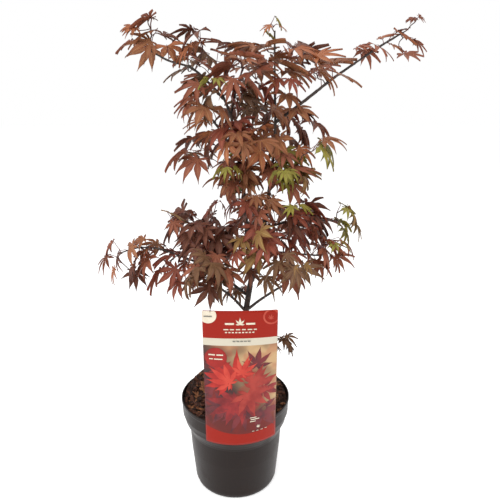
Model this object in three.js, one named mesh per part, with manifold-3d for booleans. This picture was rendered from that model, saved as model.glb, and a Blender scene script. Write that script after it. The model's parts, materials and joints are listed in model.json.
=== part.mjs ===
// A young bronze-leaved japanese maple in a black nursery pot, with its display card.
// Millimetres, +Z up. The origin is the centre of the pot's flat underside.
import * as THREE from "three";
import { mergeVertices } from "three/addons/utils/BufferGeometryUtils.js";
import Module from "manifold-3d";

const wasm = await Module();
wasm.setup();

// ---------------------------------------------------------------- driving sizes
const GAP = 0.35; // clearance between two pieces that touch
const POT_HEIGHT = 167;
const POT_RIM_RADIUS = 95;
const POT_FOOT_RADIUS = 74;
const POT_WALL = 1.8;
const POT_FLOOR = 2.6;
const COLLAR_FOOT_Z = 128; // the deep collar under the rim starts here
const COLLAR_FOOT_RADIUS = 90.5;
const BODY_TOP_Z = 110; // the tapering body ends here, under the shoulder
const BODY_TOP_RADIUS = 82;
const FOOT_CORNER = 8;
const TURN_SEGMENTS = 24;
const COMPOST_TOP = 158;
const COMPOST_EDGE = 153;
const COMPOST_FLAT_RADIUS = 24; // level patch that the trunk stands on

const CARD_WIDTH = 115;
const CARD_FOOT_Z = 131;
const CARD_TOP_Z = 370;
const CARD_CENTRE_X = 11;
const CARD_THICKNESS = 0.9;
const CARD_CLEARANCE = 0.6; // from the rim to the back of the card
const TONGUE_WIDTH = 28;
const TONGUE_FOOT_Z = 131;
const TONGUE_TOP_Z = 232;

const STEM_SIDES = 7;
const BOUGH_SIDES = 6;
const STEM_STEP = 34; // spacing of the rings along a limb

const FULLNESS = 1.15; // foliage spreads past its half sizes until it meets a neighbour
const LUMPINESS = 0.42;
const FINE_MASS = 46; // masses with a half size from here up get the finer faces

// ---------------------------------------------------------------- small helpers
const vec = (list) => new THREE.Vector3(...list);

function seededRandom(seed) {
  let state = seed >>> 0;
  return () => {
    state = (state + 0x6d2b79f5) >>> 0;
    let word = Math.imul(state ^ (state >>> 15), 1 | state);
    word = (word + Math.imul(word ^ (word >>> 7), 61 | word)) ^ word;
    return ((word ^ (word >>> 14)) >>> 0) / 4294967296;
  };
}

function indexedGeometry(points, faces) {
  const geometry = new THREE.BufferGeometry();
  geometry.setAttribute("position", new THREE.Float32BufferAttribute(points.flat(), 3));
  geometry.setIndex(faces.flat());
  return geometry;
}

function toSolid(geometry) {
  const bare = geometry.clone();
  bare.deleteAttribute("normal");
  bare.deleteAttribute("uv");
  const merged = mergeVertices(bare, 1e-3);
  return new wasm.Manifold(
    new wasm.Mesh({
      numProp: 3,
      vertProperties: new Float32Array(merged.attributes.position.array),
      triVerts: new Uint32Array(merged.index.array),
    })
  );
}

// A cut can leave slivers, so the largest body of the solid is kept.
function toGeometry(solid) {
  const bodies = solid.decompose();
  bodies.sort((a, b) => b.volume() - a.volume());
  const mesh = bodies[0].getMesh();
  const geometry = new THREE.BufferGeometry();
  geometry.setAttribute("position", new THREE.BufferAttribute(mesh.vertProperties, 3));
  geometry.setIndex(new THREE.BufferAttribute(mesh.triVerts, 1));
  return geometry;
}

function cutAway(solid, cutters) {
  let rest = solid;
  for (const cutter of cutters) {
    rest = rest.subtract(cutter);
  }
  return rest;
}

// ---------------------------------------------------------------- finishes
const FINISH = {
  pot: { color: 0x35322f, roughness: 0.45, metalness: 0 },
  compost: { color: 0x4a3020, roughness: 0.95, metalness: 0 },
  bark: { color: 0x3a2c26, roughness: 0.85, metalness: 0 },
  bronze: { color: 0x73463c, roughness: 0.6, metalness: 0 },
  dark: { color: 0x502d28, roughness: 0.6, metalness: 0 },
  copper: { color: 0x96502d, roughness: 0.6, metalness: 0 },
  lime: { color: 0x8d9440, roughness: 0.6, metalness: 0 },
  card: { color: 0xc0262a, roughness: 0.35, metalness: 0 },
  tongue: { color: 0xe8e4dc, roughness: 0.5, metalness: 0 },
};

function namedMesh(name, geometry, finish) {
  geometry.computeVertexNormals();
  const mesh = new THREE.Mesh(geometry, new THREE.MeshStandardMaterial(FINISH[finish]));
  mesh.name = name;
  return mesh;
}

// ---------------------------------------------------------------- pot and compost
function latheUp(profile) {
  const turned = new THREE.LatheGeometry(
    profile.map(([r, z]) => new THREE.Vector2(r, z)),
    TURN_SEGMENTS
  );
  turned.rotateX(Math.PI / 2);
  return turned;
}

// The pot's outside from its foot to its rim, drawn in by an offset for the inside.
function potSide(offset) {
  return [
    [POT_FOOT_RADIUS - offset, FOOT_CORNER * 1.6],
    [BODY_TOP_RADIUS - offset, BODY_TOP_Z],
    [BODY_TOP_RADIUS + 4.5 - offset, BODY_TOP_Z + 9],
    [COLLAR_FOOT_RADIUS - offset, COLLAR_FOOT_Z],
    [POT_RIM_RADIUS - 1.5 - offset, POT_HEIGHT - 27],
  ];
}

function potGeometry() {
  const inside = potSide(POT_WALL).reverse();
  return latheUp([
    [0, 0],
    [POT_FOOT_RADIUS - FOOT_CORNER, 0],
    [POT_FOOT_RADIUS - FOOT_CORNER * 0.3, FOOT_CORNER * 0.4],
    ...potSide(0),
    [POT_RIM_RADIUS, POT_HEIGHT],
    [POT_RIM_RADIUS - POT_WALL, POT_HEIGHT],
    ...inside,
    [POT_FOOT_RADIUS - POT_WALL - FOOT_CORNER * 0.6, POT_FLOOR],
    [0, POT_FLOOR],
  ]);
}

function compostSolid(tongueSlot) {
  const side = potSide(POT_WALL + GAP);
  const edge = POT_RIM_RADIUS - POT_WALL - GAP - 1;
  const filled = latheUp([
    [0, POT_FLOOR + GAP],
    [POT_FOOT_RADIUS - POT_WALL - FOOT_CORNER * 0.7 - GAP, POT_FLOOR + GAP],
    ...side,
    [edge, COMPOST_EDGE],
    [edge * 0.62, COMPOST_TOP - 1.5],
    [COMPOST_FLAT_RADIUS, COMPOST_TOP],
    [0, COMPOST_TOP],
  ]);
  return cutAway(toSolid(filled), [tongueSlot]);
}

// ---------------------------------------------------------------- display card
// A closed sheet: point(u, v) gives its front, and thickness runs towards +Y.
function sheetGeometry(columns, rows, point, thickness) {
  const points = [];
  const faces = [];
  for (const back of [0, 1]) {
    for (let row = 0; row <= rows; row += 1) {
      for (let column = 0; column <= columns; column += 1) {
        const [x, y, z] = point(column / columns, row / rows);
        points.push([x, y + back * thickness, z]);
      }
    }
  }
  const layer = (columns + 1) * (rows + 1);
  const at = (column, row, back) => back * layer + row * (columns + 1) + column;
  const quad = (a, b, c, d) => faces.push([a, b, c], [a, c, d]);
  for (let row = 0; row < rows; row += 1) {
    for (let column = 0; column < columns; column += 1) {
      const [right, up] = [column + 1, row + 1];
      quad(at(column, row, 0), at(right, row, 0), at(right, up, 0), at(column, up, 0));
      quad(at(column, row, 1), at(column, up, 1), at(right, up, 1), at(right, row, 1));
    }
    quad(at(0, row, 1), at(0, row, 0), at(0, row + 1, 0), at(0, row + 1, 1));
    quad(at(columns, row, 0), at(columns, row, 1), at(columns, row + 1, 1), at(columns, row + 1, 0));
  }
  for (let column = 0; column < columns; column += 1) {
    quad(at(column, 0, 1), at(column + 1, 0, 1), at(column + 1, 0, 0), at(column, 0, 0));
    quad(at(column, rows, 0), at(column + 1, rows, 0), at(column + 1, rows, 1), at(column, rows, 1));
  }
  return indexedGeometry(points, faces);
}

const CARD_BEND = POT_RIM_RADIUS + CARD_CLEARANCE + CARD_THICKNESS * 1.3;
const bendDepth = (x) => CARD_BEND - Math.sqrt(CARD_BEND * CARD_BEND - x * x);

// The card hugs the collar at its foot and flattens towards its top.
function cardFront(u, v) {
  const x = CARD_CENTRE_X + (u - 0.5) * CARD_WIDTH;
  const z = THREE.MathUtils.lerp(CARD_FOOT_Z, CARD_TOP_Z, v);
  const flattening = THREE.MathUtils.smoothstep(z, POT_HEIGHT, CARD_TOP_Z);
  return [x, -CARD_BEND + bendDepth(x) * (1 - 0.8 * flattening), z];
}

// The tongue behind the card drops inside the rim and into the compost.
function tongueGeometry(grow) {
  const outerY = -CARD_BEND + CARD_THICKNESS + bendDepth(TONGUE_WIDTH / 2) + GAP;
  const insideY = -(POT_RIM_RADIUS - POT_WALL - 6);
  const section = (z) => THREE.MathUtils.lerp(insideY, outerY, THREE.MathUtils.smoothstep(z, POT_HEIGHT + 3, 205));
  return sheetGeometry(
    1,
    8,
    (u, v) => {
      const z = THREE.MathUtils.lerp(TONGUE_FOOT_Z - grow, TONGUE_TOP_Z, v);
      return [(u - 0.5) * (TONGUE_WIDTH + 2 * grow), section(z) - grow, z];
    },
    CARD_THICKNESS + 2 * grow
  );
}

// ---------------------------------------------------------------- limbs
// One tapering limb along a smooth curve, with flat ends; flare widens its foot.
function limbGeometry({ path, radii, sides, flare = 0 }, grow = 0) {
  const curve = new THREE.CatmullRomCurve3(path.map(vec), false, "centripetal");
  const steps = Math.max(3, Math.round(curve.getLength() / STEM_STEP));
  const frames = curve.computeFrenetFrames(steps, false);
  const points = [];
  const faces = [];
  for (let step = 0; step <= steps; step += 1) {
    const along = step / steps;
    const centre = curve.getPointAt(along);
    const taper = THREE.MathUtils.lerp(radii[0], radii[1], along);
    const radius = taper + flare * Math.exp(-along * steps * 1.6) + grow;
    for (let side = 0; side < sides; side += 1) {
      const turn = (2 * Math.PI * side) / sides;
      const spoke = frames.normals[step].clone().multiplyScalar(Math.cos(turn) * radius);
      spoke.addScaledVector(frames.binormals[step], Math.sin(turn) * radius);
      if (flare > 0 && step === 0) {
        spoke.z = 0; // the foot is a level cut
      }
      points.push(centre.clone().add(spoke).toArray());
    }
  }
  const foot = points.length;
  points.push(curve.getPointAt(0).toArray(), curve.getPointAt(1).toArray());
  for (let side = 0; side < sides; side += 1) {
    const next = (side + 1) % sides;
    for (let step = 0; step < steps; step += 1) {
      const [low, high] = [step * sides, (step + 1) * sides];
      faces.push([low + side, low + next, high + next], [low + side, high + next, high + side]);
    }
    faces.push([foot, next, side]);
    faces.push([foot + 1, steps * sides + side, steps * sides + next]);
  }
  return indexedGeometry(points, faces);
}

const TRUNK = {
  path: [[3, 2, COMPOST_TOP + GAP], [7, 1, 235], [19, 0, 325], [28, 0, 385]],
  radii: [6.6, 4.6],
  flare: 4.5,
  sides: STEM_SIDES,
};
const LEADER_LEFT = {
  path: [[28.4, 0, 385.4], [22, 11, 450], [16, 10, 525], [8, 5, 590], [-4, 0, 650], [-28, 0, 708]],
  radii: [4.2, 1.6],
  sides: STEM_SIDES,
};
const LEADER_RIGHT = {
  path: [[27, 0, 372], [40, -13, 425], [48, -13, 475], [57, -7, 545], [64, 0, 615], [63, 4, 695], [62, 7, 768]],
  radii: [3.8, 1.2],
  sides: STEM_SIDES,
};

// Each bough leaves its stem at the first point and enters its foliage at the last.
const BOUGHS = {
  arm_left_bough: { path: [[-10, 0, 668], [-55, -9, 714], [-98, -12, 729], [-124, -10, 744]], radii: [2.2, 1.2] },
  arm_right_bough: {
    path: [[64, 2, 638], [99, -7, 664], [147, -14, 702], [190, -2, 730], [232, 8, 756], [250, 10, 766]],
    radii: [2.6, 1.2],
  },
  low_sprig_bough: { path: [[10, 1, 238], [44, -6, 262], [80, -13, 281]], radii: [1.6, 1.0] },
  low_left_bough: { path: [[19, 0, 326], [-5, -16, 360], [-28, -48, 392]], radii: [2.6, 1.6] },
  low_right_bough: { path: [[20, 0, 328], [50, -22, 362], [78, -54, 394]], radii: [2.6, 1.6] },
  spray_left_bough: {
    path: [[25, 0, 352], [-30, -4, 398], [-88, -14, 430], [-140, -12, 444], [-186, -2, 430]],
    radii: [2.4, 1.1],
  },
  low_right_out_bough: { path: [[42, -13, 438], [90, -20, 436], [136, -26, 434]], radii: [2.2, 1.2] },
  low_right_tip_bough: { path: [[48, -13, 476], [100, -4, 486], [168, 8, 482]], radii: [2.2, 1.1] },
  low_rear_left_bough: { path: [[22, 11, 440], [-18, 40, 444], [-48, 66, 450]], radii: [2.2, 1.4] },
  low_rear_bough: { path: [[27, 1, 374], [26, 40, 404], [30, 78, 436]], radii: [2.4, 1.5] },
  low_rear_right_bough: { path: [[43, -13, 446], [70, 24, 444], [92, 56, 446]], radii: [2.2, 1.4] },
  mid_left_bough: { path: [[9, 5, 584], [-16, -6, 622], [-38, -20, 656]], radii: [2.0, 1.2] },
  mid_rear_bough: { path: [[9, 6, 590], [20, 34, 612], [26, 66, 630]], radii: [2.0, 1.3] },
  top_rear_bough: { path: [[-3, 1, 648], [6, 34, 690], [16, 62, 718]], radii: [1.8, 1.1] },
};

// ---------------------------------------------------------------- foliage
// Centre and half sizes of every mass; tint names its finish.
const FOLIAGE = {
  arm_left_tip: { at: [-122, -10, 755], half: [36, 32, 38], tint: "copper" },
  arm_left_inner: { at: [-72, -14, 748], half: [40, 30, 27], tint: "bronze" },
  top_left: { at: [-22, 6, 729], half: [40, 38, 35], tint: "bronze" },
  top_front: { at: [38, -48, 727], half: [44, 34, 30], tint: "bronze" },
  top_shoot: { at: [62, 8, 766], half: [18, 18, 20], tint: "copper" },
  top_right: { at: [92, -2, 727], half: [36, 38, 32], tint: "bronze" },
  arm_right_inner: { at: [142, -20, 708], half: [40, 34, 36], tint: "copper" },
  arm_right_mid: { at: [206, 2, 738], half: [35, 30, 22], tint: "dark" },
  arm_right_tip: { at: [250, 10, 766], half: [30, 30, 30], tint: "copper" },
  top_rear: { at: [22, 72, 730], half: [50, 42, 32], tint: "bronze" },
  top_rear_left: { at: [-62, 52, 722], half: [42, 36, 30], tint: "dark" },
  top_rear_right: { at: [112, 62, 722], half: [46, 38, 30], tint: "bronze" },
  mid_left_upper: { at: [-48, -28, 682], half: [35, 36, 36], tint: "dark" },
  mid_left: { at: [-44, 18, 634], half: [44, 40, 32], tint: "bronze" },
  mid_left_low: { at: [-64, -20, 580], half: [38, 32, 28], tint: "bronze" },
  mid_centre: { at: [30, 30, 668], half: [38, 34, 34], tint: "dark" },
  mid_right: { at: [74, -24, 664], half: [36, 36, 36], tint: "bronze" },
  mid_right_low: { at: [142, -10, 598], half: [44, 34, 29], tint: "copper" },
  mid_centre_low: { at: [20, -42, 612], half: [40, 34, 32], tint: "bronze" },
  waist_left: { at: [4, 0, 552], half: [38, 38, 38], tint: "lime" },
  waist_right: { at: [86, -16, 562], half: [38, 36, 40], tint: "lime" },
  mid_rear: { at: [26, 88, 640], half: [52, 38, 42], tint: "bronze" },
  mid_rear_left: { at: [-52, 66, 590], half: [44, 38, 36], tint: "dark" },
  mid_rear_right: { at: [104, 52, 620], half: [46, 40, 38], tint: "bronze" },
  low_sprig: { at: [86, -14, 284], half: [18, 18, 23], tint: "dark" },
  low_left_leaf: { at: [-80, -4, 486], half: [30, 30, 20], tint: "copper" },
  low_centre_left: { at: [-38, -22, 458], half: [46, 42, 46], tint: "bronze" },
  low_front: { at: [30, -72, 450], half: [42, 34, 40], tint: "bronze" },
  low_right: { at: [108, -8, 474], half: [44, 42, 42], tint: "bronze" },
  low_right_tip: { at: [188, 10, 476], half: [28, 28, 30], tint: "lime" },
  low_right_out: { at: [156, -28, 440], half: [34, 32, 28], tint: "copper" },
  low_right_front: { at: [86, -78, 427], half: [42, 34, 32], tint: "dark" },
  low_left_front: { at: [-38, -80, 414], half: [46, 36, 34], tint: "dark" },
  spray_left_inner: { at: [-106, -20, 410], half: [30, 30, 36], tint: "bronze" },
  spray_left: { at: [-150, -10, 417], half: [27, 30, 56], tint: "bronze" },
  spray_left_tip: { at: [-198, 0, 412], half: [24, 26, 42], tint: "copper" },
  low_rear_left: { at: [-78, 82, 454], half: [52, 44, 44], tint: "bronze" },
  low_rear: { at: [30, 108, 456], half: [54, 46, 46], tint: "dark" },
  low_rear_right: { at: [116, 80, 448], half: [50, 44, 44], tint: "bronze" },
};

// Smooth unevenness over the sphere of directions, about -1 to 1.
function lumpField(seed) {
  const random = seededRandom(seed);
  const waves = [];
  for (let wave = 0; wave < 7; wave += 1) {
    const way = new THREE.Vector3(random() - 0.5, random() - 0.5, random() - 0.5).normalize();
    waves.push({ way, pitch: 2.2 + 3.4 * random(), phase: 2 * Math.PI * random() });
  }
  return (direction) => {
    const sum = waves.reduce((total, { way, pitch, phase }) => total + Math.sin(pitch * way.dot(direction) + phase), 0);
    return sum / waves.length;
  };
}

function reachOf(half, direction) {
  const scaled = new THREE.Vector3(direction.x / half[0], direction.y / half[1], direction.z / half[2]);
  return 1 / scaled.length();
}

// The level between two neighbours, as a distance from the first one's centre.
function boundaryWith(mass, other) {
  const towards = vec(other.at).sub(vec(mass.at));
  const distance = towards.length();
  towards.normalize();
  const mine = reachOf(mass.half, towards);
  const theirs = reachOf(other.half, towards);
  return { towards, limit: (distance * mine) / (mine + theirs) - GAP / 2 };
}

function foliageGeometry(mass, index, others) {
  const detail = Math.max(...mass.half) >= FINE_MASS ? 2 : 1;
  const ball = new THREE.IcosahedronGeometry(1, detail);
  ball.deleteAttribute("normal");
  ball.deleteAttribute("uv");
  const shell = mergeVertices(ball, 1e-4);
  const lumps = lumpField(100 + index * 17);
  const boundaries = others.map((other) => boundaryWith(mass, other));
  const position = shell.attributes.position;
  for (let corner = 0; corner < position.count; corner += 1) {
    const direction = new THREE.Vector3().fromBufferAttribute(position, corner).normalize();
    let radius = reachOf(mass.half, direction) * (FULLNESS + LUMPINESS * lumps(direction));
    for (const { towards, limit } of boundaries) {
      const slope = direction.dot(towards);
      if (slope > 0) {
        radius = Math.min(radius, limit / slope);
      }
    }
    const place = direction.multiplyScalar(radius).add(vec(mass.at));
    position.setXYZ(corner, place.x, place.y, place.z);
  }
  return shell;
}

// ---------------------------------------------------------------- assembly
const group = new THREE.Group();

const tongueSlot = toSolid(tongueGeometry(GAP));
group.add(namedMesh("pot", potGeometry(), "pot"));
group.add(namedMesh("compost", toGeometry(compostSolid(tongueSlot)), "compost"));
group.add(namedMesh("label_card", sheetGeometry(8, 6, cardFront, CARD_THICKNESS), "card"));
group.add(namedMesh("label_tongue", tongueGeometry(0), "tongue"));

// Each limb is cut clear of the limbs built before it, and foliage is cut clear of all.
const limbs = { trunk: TRUNK, leader_left: LEADER_LEFT, leader_right: LEADER_RIGHT };
for (const [name, bough] of Object.entries(BOUGHS)) {
  limbs[name] = { ...bough, sides: BOUGH_SIDES };
}
const clearances = [];
for (const [name, limb] of Object.entries(limbs)) {
  const solid = cutAway(toSolid(limbGeometry(limb)), clearances);
  group.add(namedMesh(name, toGeometry(solid), "bark"));
  clearances.push(toSolid(limbGeometry(limb, GAP)));
}

const masses = Object.entries(FOLIAGE);
masses.forEach(([name, mass], index) => {
  const others = masses.filter((entry) => entry[0] !== name).map((entry) => entry[1]);
  const solid = cutAway(toSolid(foliageGeometry(mass, index, others)), clearances);
  group.add(namedMesh(`foliage_${name}`, toGeometry(solid), mass.tint));
});

export default group;
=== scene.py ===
"""Looks of a young bronze-leaved maple in a nursery pot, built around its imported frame.

All lengths are metres in the frame's own axes: +Z up, -Y towards the front of the plant.
"""

from __future__ import annotations

import heapq
import json
import logging
import math
import random
from dataclasses import dataclass, field, replace
from enum import Enum
from typing import Any, Iterable, Sequence

import bmesh
import bpy
import numpy as np
from mathutils import Matrix, Vector, noise
from mathutils.bvhtree import BVHTree

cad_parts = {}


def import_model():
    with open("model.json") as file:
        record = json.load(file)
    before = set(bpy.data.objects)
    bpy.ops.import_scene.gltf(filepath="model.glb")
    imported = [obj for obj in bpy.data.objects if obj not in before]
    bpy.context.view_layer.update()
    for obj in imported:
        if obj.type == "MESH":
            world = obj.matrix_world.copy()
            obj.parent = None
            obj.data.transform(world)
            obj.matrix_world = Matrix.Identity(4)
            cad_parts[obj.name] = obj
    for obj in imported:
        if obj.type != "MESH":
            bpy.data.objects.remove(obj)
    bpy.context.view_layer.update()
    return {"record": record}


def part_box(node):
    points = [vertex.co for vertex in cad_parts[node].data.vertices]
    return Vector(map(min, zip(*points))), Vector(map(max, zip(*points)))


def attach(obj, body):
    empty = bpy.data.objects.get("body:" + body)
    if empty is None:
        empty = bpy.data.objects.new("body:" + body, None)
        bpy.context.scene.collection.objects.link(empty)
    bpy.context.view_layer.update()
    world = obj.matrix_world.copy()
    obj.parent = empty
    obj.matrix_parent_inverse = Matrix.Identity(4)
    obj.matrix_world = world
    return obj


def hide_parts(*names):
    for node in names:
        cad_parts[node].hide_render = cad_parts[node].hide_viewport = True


log = logging.getLogger("maple")
MM = 0.001
UP = Vector((0.0, 0.0, 1.0))

Colour = tuple[float, float, float]


# ------------------------------------------------------------------ shader maths
def linear(red: float, green: float, blue: float) -> Colour:
    """A colour given as 0 to 255 on a screen, as the linear numbers a shader uses."""
    parts = (red / 255.0, green / 255.0, blue / 255.0)
    return tuple(part / 12.92 if part <= 0.04 else ((part + 0.055) / 1.055) ** 2.4 for part in parts)


class Value:
    """A number that varies over a surface; arithmetic on it adds Math nodes."""

    def __init__(self, recipe: "Recipe", socket: bpy.types.NodeSocket) -> None:
        """Wraps one output socket of a recipe's node tree."""
        self.recipe = recipe
        self.socket = socket

    def _math(self, operation: str, *terms: Any) -> "Value":
        """Adds a Math node.

        Args:
            operation: The node's operation.
            terms: Its inputs in order, values or plain numbers.

        Returns:
            The node's output.
        """
        node = self.recipe.node("ShaderNodeMath", {"operation": operation}, dict(enumerate(terms)))
        return Value(self.recipe, node.outputs[0])

    def __add__(self, other: Any) -> "Value":
        """Sum."""
        return self._math("ADD", self, other)

    __radd__ = __add__

    def __sub__(self, other: Any) -> "Value":
        """Difference."""
        return self._math("SUBTRACT", self, other)

    def __rsub__(self, other: Any) -> "Value":
        """Difference from a plain number."""
        return self._math("SUBTRACT", other, self)

    def __mul__(self, other: Any) -> "Value":
        """Product."""
        return self._math("MULTIPLY", self, other)

    __rmul__ = __mul__

    def __pow__(self, other: Any) -> "Value":
        """Power."""
        return self._math("POWER", self, other)

    def __abs__(self) -> "Value":
        """Size without sign."""
        return self._math("ABSOLUTE", self)

    def fract(self) -> "Value":
        """What is left over a whole number."""
        return self._math("FRACT", self)

    def between(self, low: float, high: float) -> "Value":
        """0 below low, 1 above high and a smooth step between them."""
        node = self.recipe.node(
            "ShaderNodeMapRange",
            {"interpolation_type": "SMOOTHSTEP"},
            {"Value": self, "From Min": low, "From Max": high},
        )
        return Value(self.recipe, node.outputs["Result"])


class Recipe:
    """The node tree of one material."""

    def __init__(self, name: str) -> None:
        """Makes a material with a Principled shader."""
        self.material = bpy.data.materials.new(name)
        self.material.use_nodes = True
        self.tree = self.material.node_tree
        self.shader = self.tree.nodes["Principled BSDF"]

    def node(self, kind: str, settings: dict[str, Any], inputs: dict[Any, Any]) -> bpy.types.Node:
        """Adds a node.

        Args:
            kind: The node's type.
            settings: Its properties, set first.
            inputs: Values, sockets or numbers by the input's name or place.

        Returns:
            The node.
        """
        made = self.tree.nodes.new(kind)
        for key, setting in settings.items():
            setattr(made, key, setting)
        for key, source in inputs.items():
            self.feed(made.inputs[key], source)
        return made

    def feed(self, target: bpy.types.NodeSocket, source: Any) -> None:
        """Links a value or socket to an input, or sets a plain number or colour on it."""
        if isinstance(source, Value):
            source = source.socket
        if isinstance(source, bpy.types.NodeSocket):
            self.tree.links.new(source, target)
        elif isinstance(source, tuple) and len(source) == 3 and target.type == "RGBA":
            target.default_value = (*source, 1.0)
        else:
            target.default_value = source

    def place(self) -> bpy.types.NodeSocket:
        """The object's own coordinates, in metres."""
        return self.node("ShaderNodeTexCoord", {}, {}).outputs["Object"]

    def sheet_place(self, layer: str) -> tuple[Value, Value]:
        """The two numbers of a UV layer."""
        uv = self.node("ShaderNodeUVMap", {"uv_map": layer}, {}).outputs[0]
        parts = self.node("ShaderNodeSeparateXYZ", {}, {0: uv})
        return Value(self, parts.outputs[0]), Value(self, parts.outputs[1])

    def vector(self, x: Any, y: Any, z: Any = 0.0) -> bpy.types.NodeSocket:
        """A vector of three values."""
        return self.node("ShaderNodeCombineXYZ", {}, {0: x, 1: y, 2: z}).outputs[0]

    def speckle(self, scale: float, detail: float = 3.0, at: Any = None) -> Value:
        """Soft noise from 0 to 1, with its features about 1/scale apart."""
        place = self.place() if at is None else at
        made = self.node("ShaderNodeTexNoise", {}, {"Vector": place, "Scale": scale, "Detail": detail})
        return Value(self, made.outputs[0])

    def stretched(self, scale: tuple[float, float, float]) -> bpy.types.NodeSocket:
        """Object coordinates scaled by their own factor on each axis."""
        return self.node("ShaderNodeMapping", {}, {"Vector": self.place(), "Scale": scale}).outputs[0]

    def blend(self, amount: Any, low: Any, high: Any) -> bpy.types.NodeSocket:
        """A colour between two, by an amount from 0 to 1."""
        node = self.node("ShaderNodeMix", {"data_type": "RGBA"}, {"Factor": amount})
        self.feed(node.inputs[6], low)
        self.feed(node.inputs[7], high)
        return node.outputs[2]

    def relief(self, height: Value, depth: float) -> None:
        """Bumps the surface by a height from 0 to 1 times a depth in metres."""
        bump = self.node("ShaderNodeBump", {}, {"Height": height, "Distance": depth, "Strength": 1.0})
        self.feed(self.shader.inputs["Normal"], bump.outputs[0])

    def finish(self, **inputs: Any) -> bpy.types.Material:
        """Feeds the Principled shader's inputs, with _ for each space, and returns the material."""
        for key, source in inputs.items():
            self.feed(self.shader.inputs[key.replace("_", " ").title().replace("Ior", "IOR")], source)
        return self.material


# ------------------------------------------------------------------ mesh helpers
@dataclass
class Surface:
    """Corners and faces, with one UV row per face corner where the piece needs it."""

    points: np.ndarray
    faces: list[tuple[int, ...]]
    strip: np.ndarray | None = None
    flat: np.ndarray | None = None


def deselect() -> None:
    """Leaves nothing selected, so that an operator acts on the new piece alone."""
    bpy.ops.object.select_all(action="DESELECT")


def piece_from(name: str, surface: Surface, smooth: bool = True) -> bpy.types.Object:
    """Makes a mesh object at the origin.

    Args:
        name: The piece's name.
        surface: Its corners, faces and UV rows.
        smooth: Whether its faces are shaded smooth.

    Returns:
        The object.
    """
    mesh = bpy.data.meshes.new(name)
    mesh.from_pydata(surface.points.tolist(), [], surface.faces)
    for layer, rows in (("LeafUV", surface.strip), ("OFBake", surface.flat)):
        if rows is not None:
            mesh.uv_layers.new(name=layer).data.foreach_set("uv", rows.astype(np.float32).ravel())
    if smooth:
        mesh.shade_smooth()
    made = bpy.data.objects.new(name, mesh)
    bpy.context.scene.collection.objects.link(made)
    return made


def joined(surfaces: Iterable[Surface]) -> Surface:
    """Puts many small surfaces into one."""
    points, faces, strips, flats = [], [], [], []
    start = 0
    for part in surfaces:
        points.append(part.points)
        faces.extend(tuple(corner + start for corner in face) for face in part.faces)
        start += len(part.points)
        if part.strip is not None:
            strips.append(part.strip)
            flats.append(part.flat)
    return Surface(
        np.concatenate(points),
        faces,
        np.concatenate(strips) if strips else None,
        np.concatenate(flats) if flats else None,
    )


def turned_shell(name: str, profile: Sequence[tuple[float, float]], sides: int) -> bpy.types.Object:
    """Draws a round shell up from its foot, ring by ring.

    Args:
        name: The piece's name.
        profile: Radius and height of each ring; the first and the last are closed by a flat face.
        sides: Corners round each ring.

    Returns:
        The closed shell.
    """
    deselect()
    radius, height = profile[0]
    foot = (0.0, 0.0, height)
    bpy.ops.mesh.primitive_circle_add(vertices=sides, radius=radius, location=foot, fill_type="NGON")
    made = bpy.context.object
    made.name = name
    bpy.ops.object.transform_apply(location=True)
    bpy.ops.object.mode_set(mode="EDIT")
    bpy.ops.mesh.select_all(action="SELECT")
    for next_radius, next_height in profile[1:]:
        rise = next_height - height
        if rise == 0.0:
            bpy.ops.mesh.extrude_region_move()
        else:
            bpy.ops.mesh.extrude_region_move(TRANSFORM_OT_translate={"value": (0, 0, rise)})
        grow = next_radius / radius
        bpy.ops.transform.resize(value=(grow, grow, 1.0))
        radius, height = next_radius, next_height
    bpy.ops.mesh.select_all(action="SELECT")
    bpy.ops.mesh.normals_make_consistent(inside=False)
    bpy.ops.object.mode_set(mode="OBJECT")
    return made


def apply_modifier(made: bpy.types.Object, kind: str, **settings: Any) -> None:
    """Adds a modifier with its settings and applies it."""
    deselect()
    made.select_set(True)
    bpy.context.view_layer.objects.active = made
    modifier = made.modifiers.new(kind.title(), kind)
    for key, setting in settings.items():
        setattr(modifier, key, setting)
    bpy.ops.object.modifier_apply(modifier=modifier.name)


def wear(made: bpy.types.Object, material: bpy.types.Material, slot: str, *nodes: str) -> None:
    """Dresses a piece and ties it to the frame.

    Args:
        made: The piece.
        material: Its finish.
        slot: The record's material slot; not used.
        nodes: The frame's nodes that it stands for.
    """
    made.data.materials.clear()
    made.data.materials.append(material)
    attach(made, "root")
    if nodes:
        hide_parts(*nodes)
    log.info("%s: %d faces", made.name, len(made.data.polygons))


# ------------------------------------------------------------------ finishes
class Tint(Enum):
    """The leaf colours that the sprays are dealt, with the record slot of each. The lighter orange-red tints
    are partly the leaves' own colour and partly painted glow of leaves lit from behind.
    """

    BRONZE = ("bronze_leaves", linear(140, 81, 58), linear(110, 58, 44), linear(168, 112, 82))
    RED = ("bronze_leaves", linear(132, 66, 48), linear(104, 48, 38), linear(160, 98, 72))
    RUSSET = ("bronze_leaves", linear(146, 94, 62), linear(116, 68, 48), linear(176, 128, 88))
    DARK = ("dark_leaves", linear(104, 60, 44), linear(78, 44, 34), linear(134, 90, 68))
    UMBER = ("dark_leaves", linear(116, 82, 56), linear(86, 58, 42), linear(148, 116, 82))
    COPPER = ("copper_leaves", linear(158, 96, 60), linear(128, 70, 46), linear(188, 132, 86))
    OLIVE = ("copper_leaves", linear(136, 104, 58), linear(112, 74, 46), linear(170, 142, 86))
    LIME = ("lime_leaves", linear(134, 132, 52), linear(122, 94, 46), linear(166, 164, 84))

    def __init__(self, slot: str, blade: Colour, margin: Colour, vein: Colour) -> None:
        """Keeps the slot and the colours of the blade, its margin and its veins."""
        self.slot = slot
        self.blade = blade
        self.margin = margin
        self.vein = vein


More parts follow.
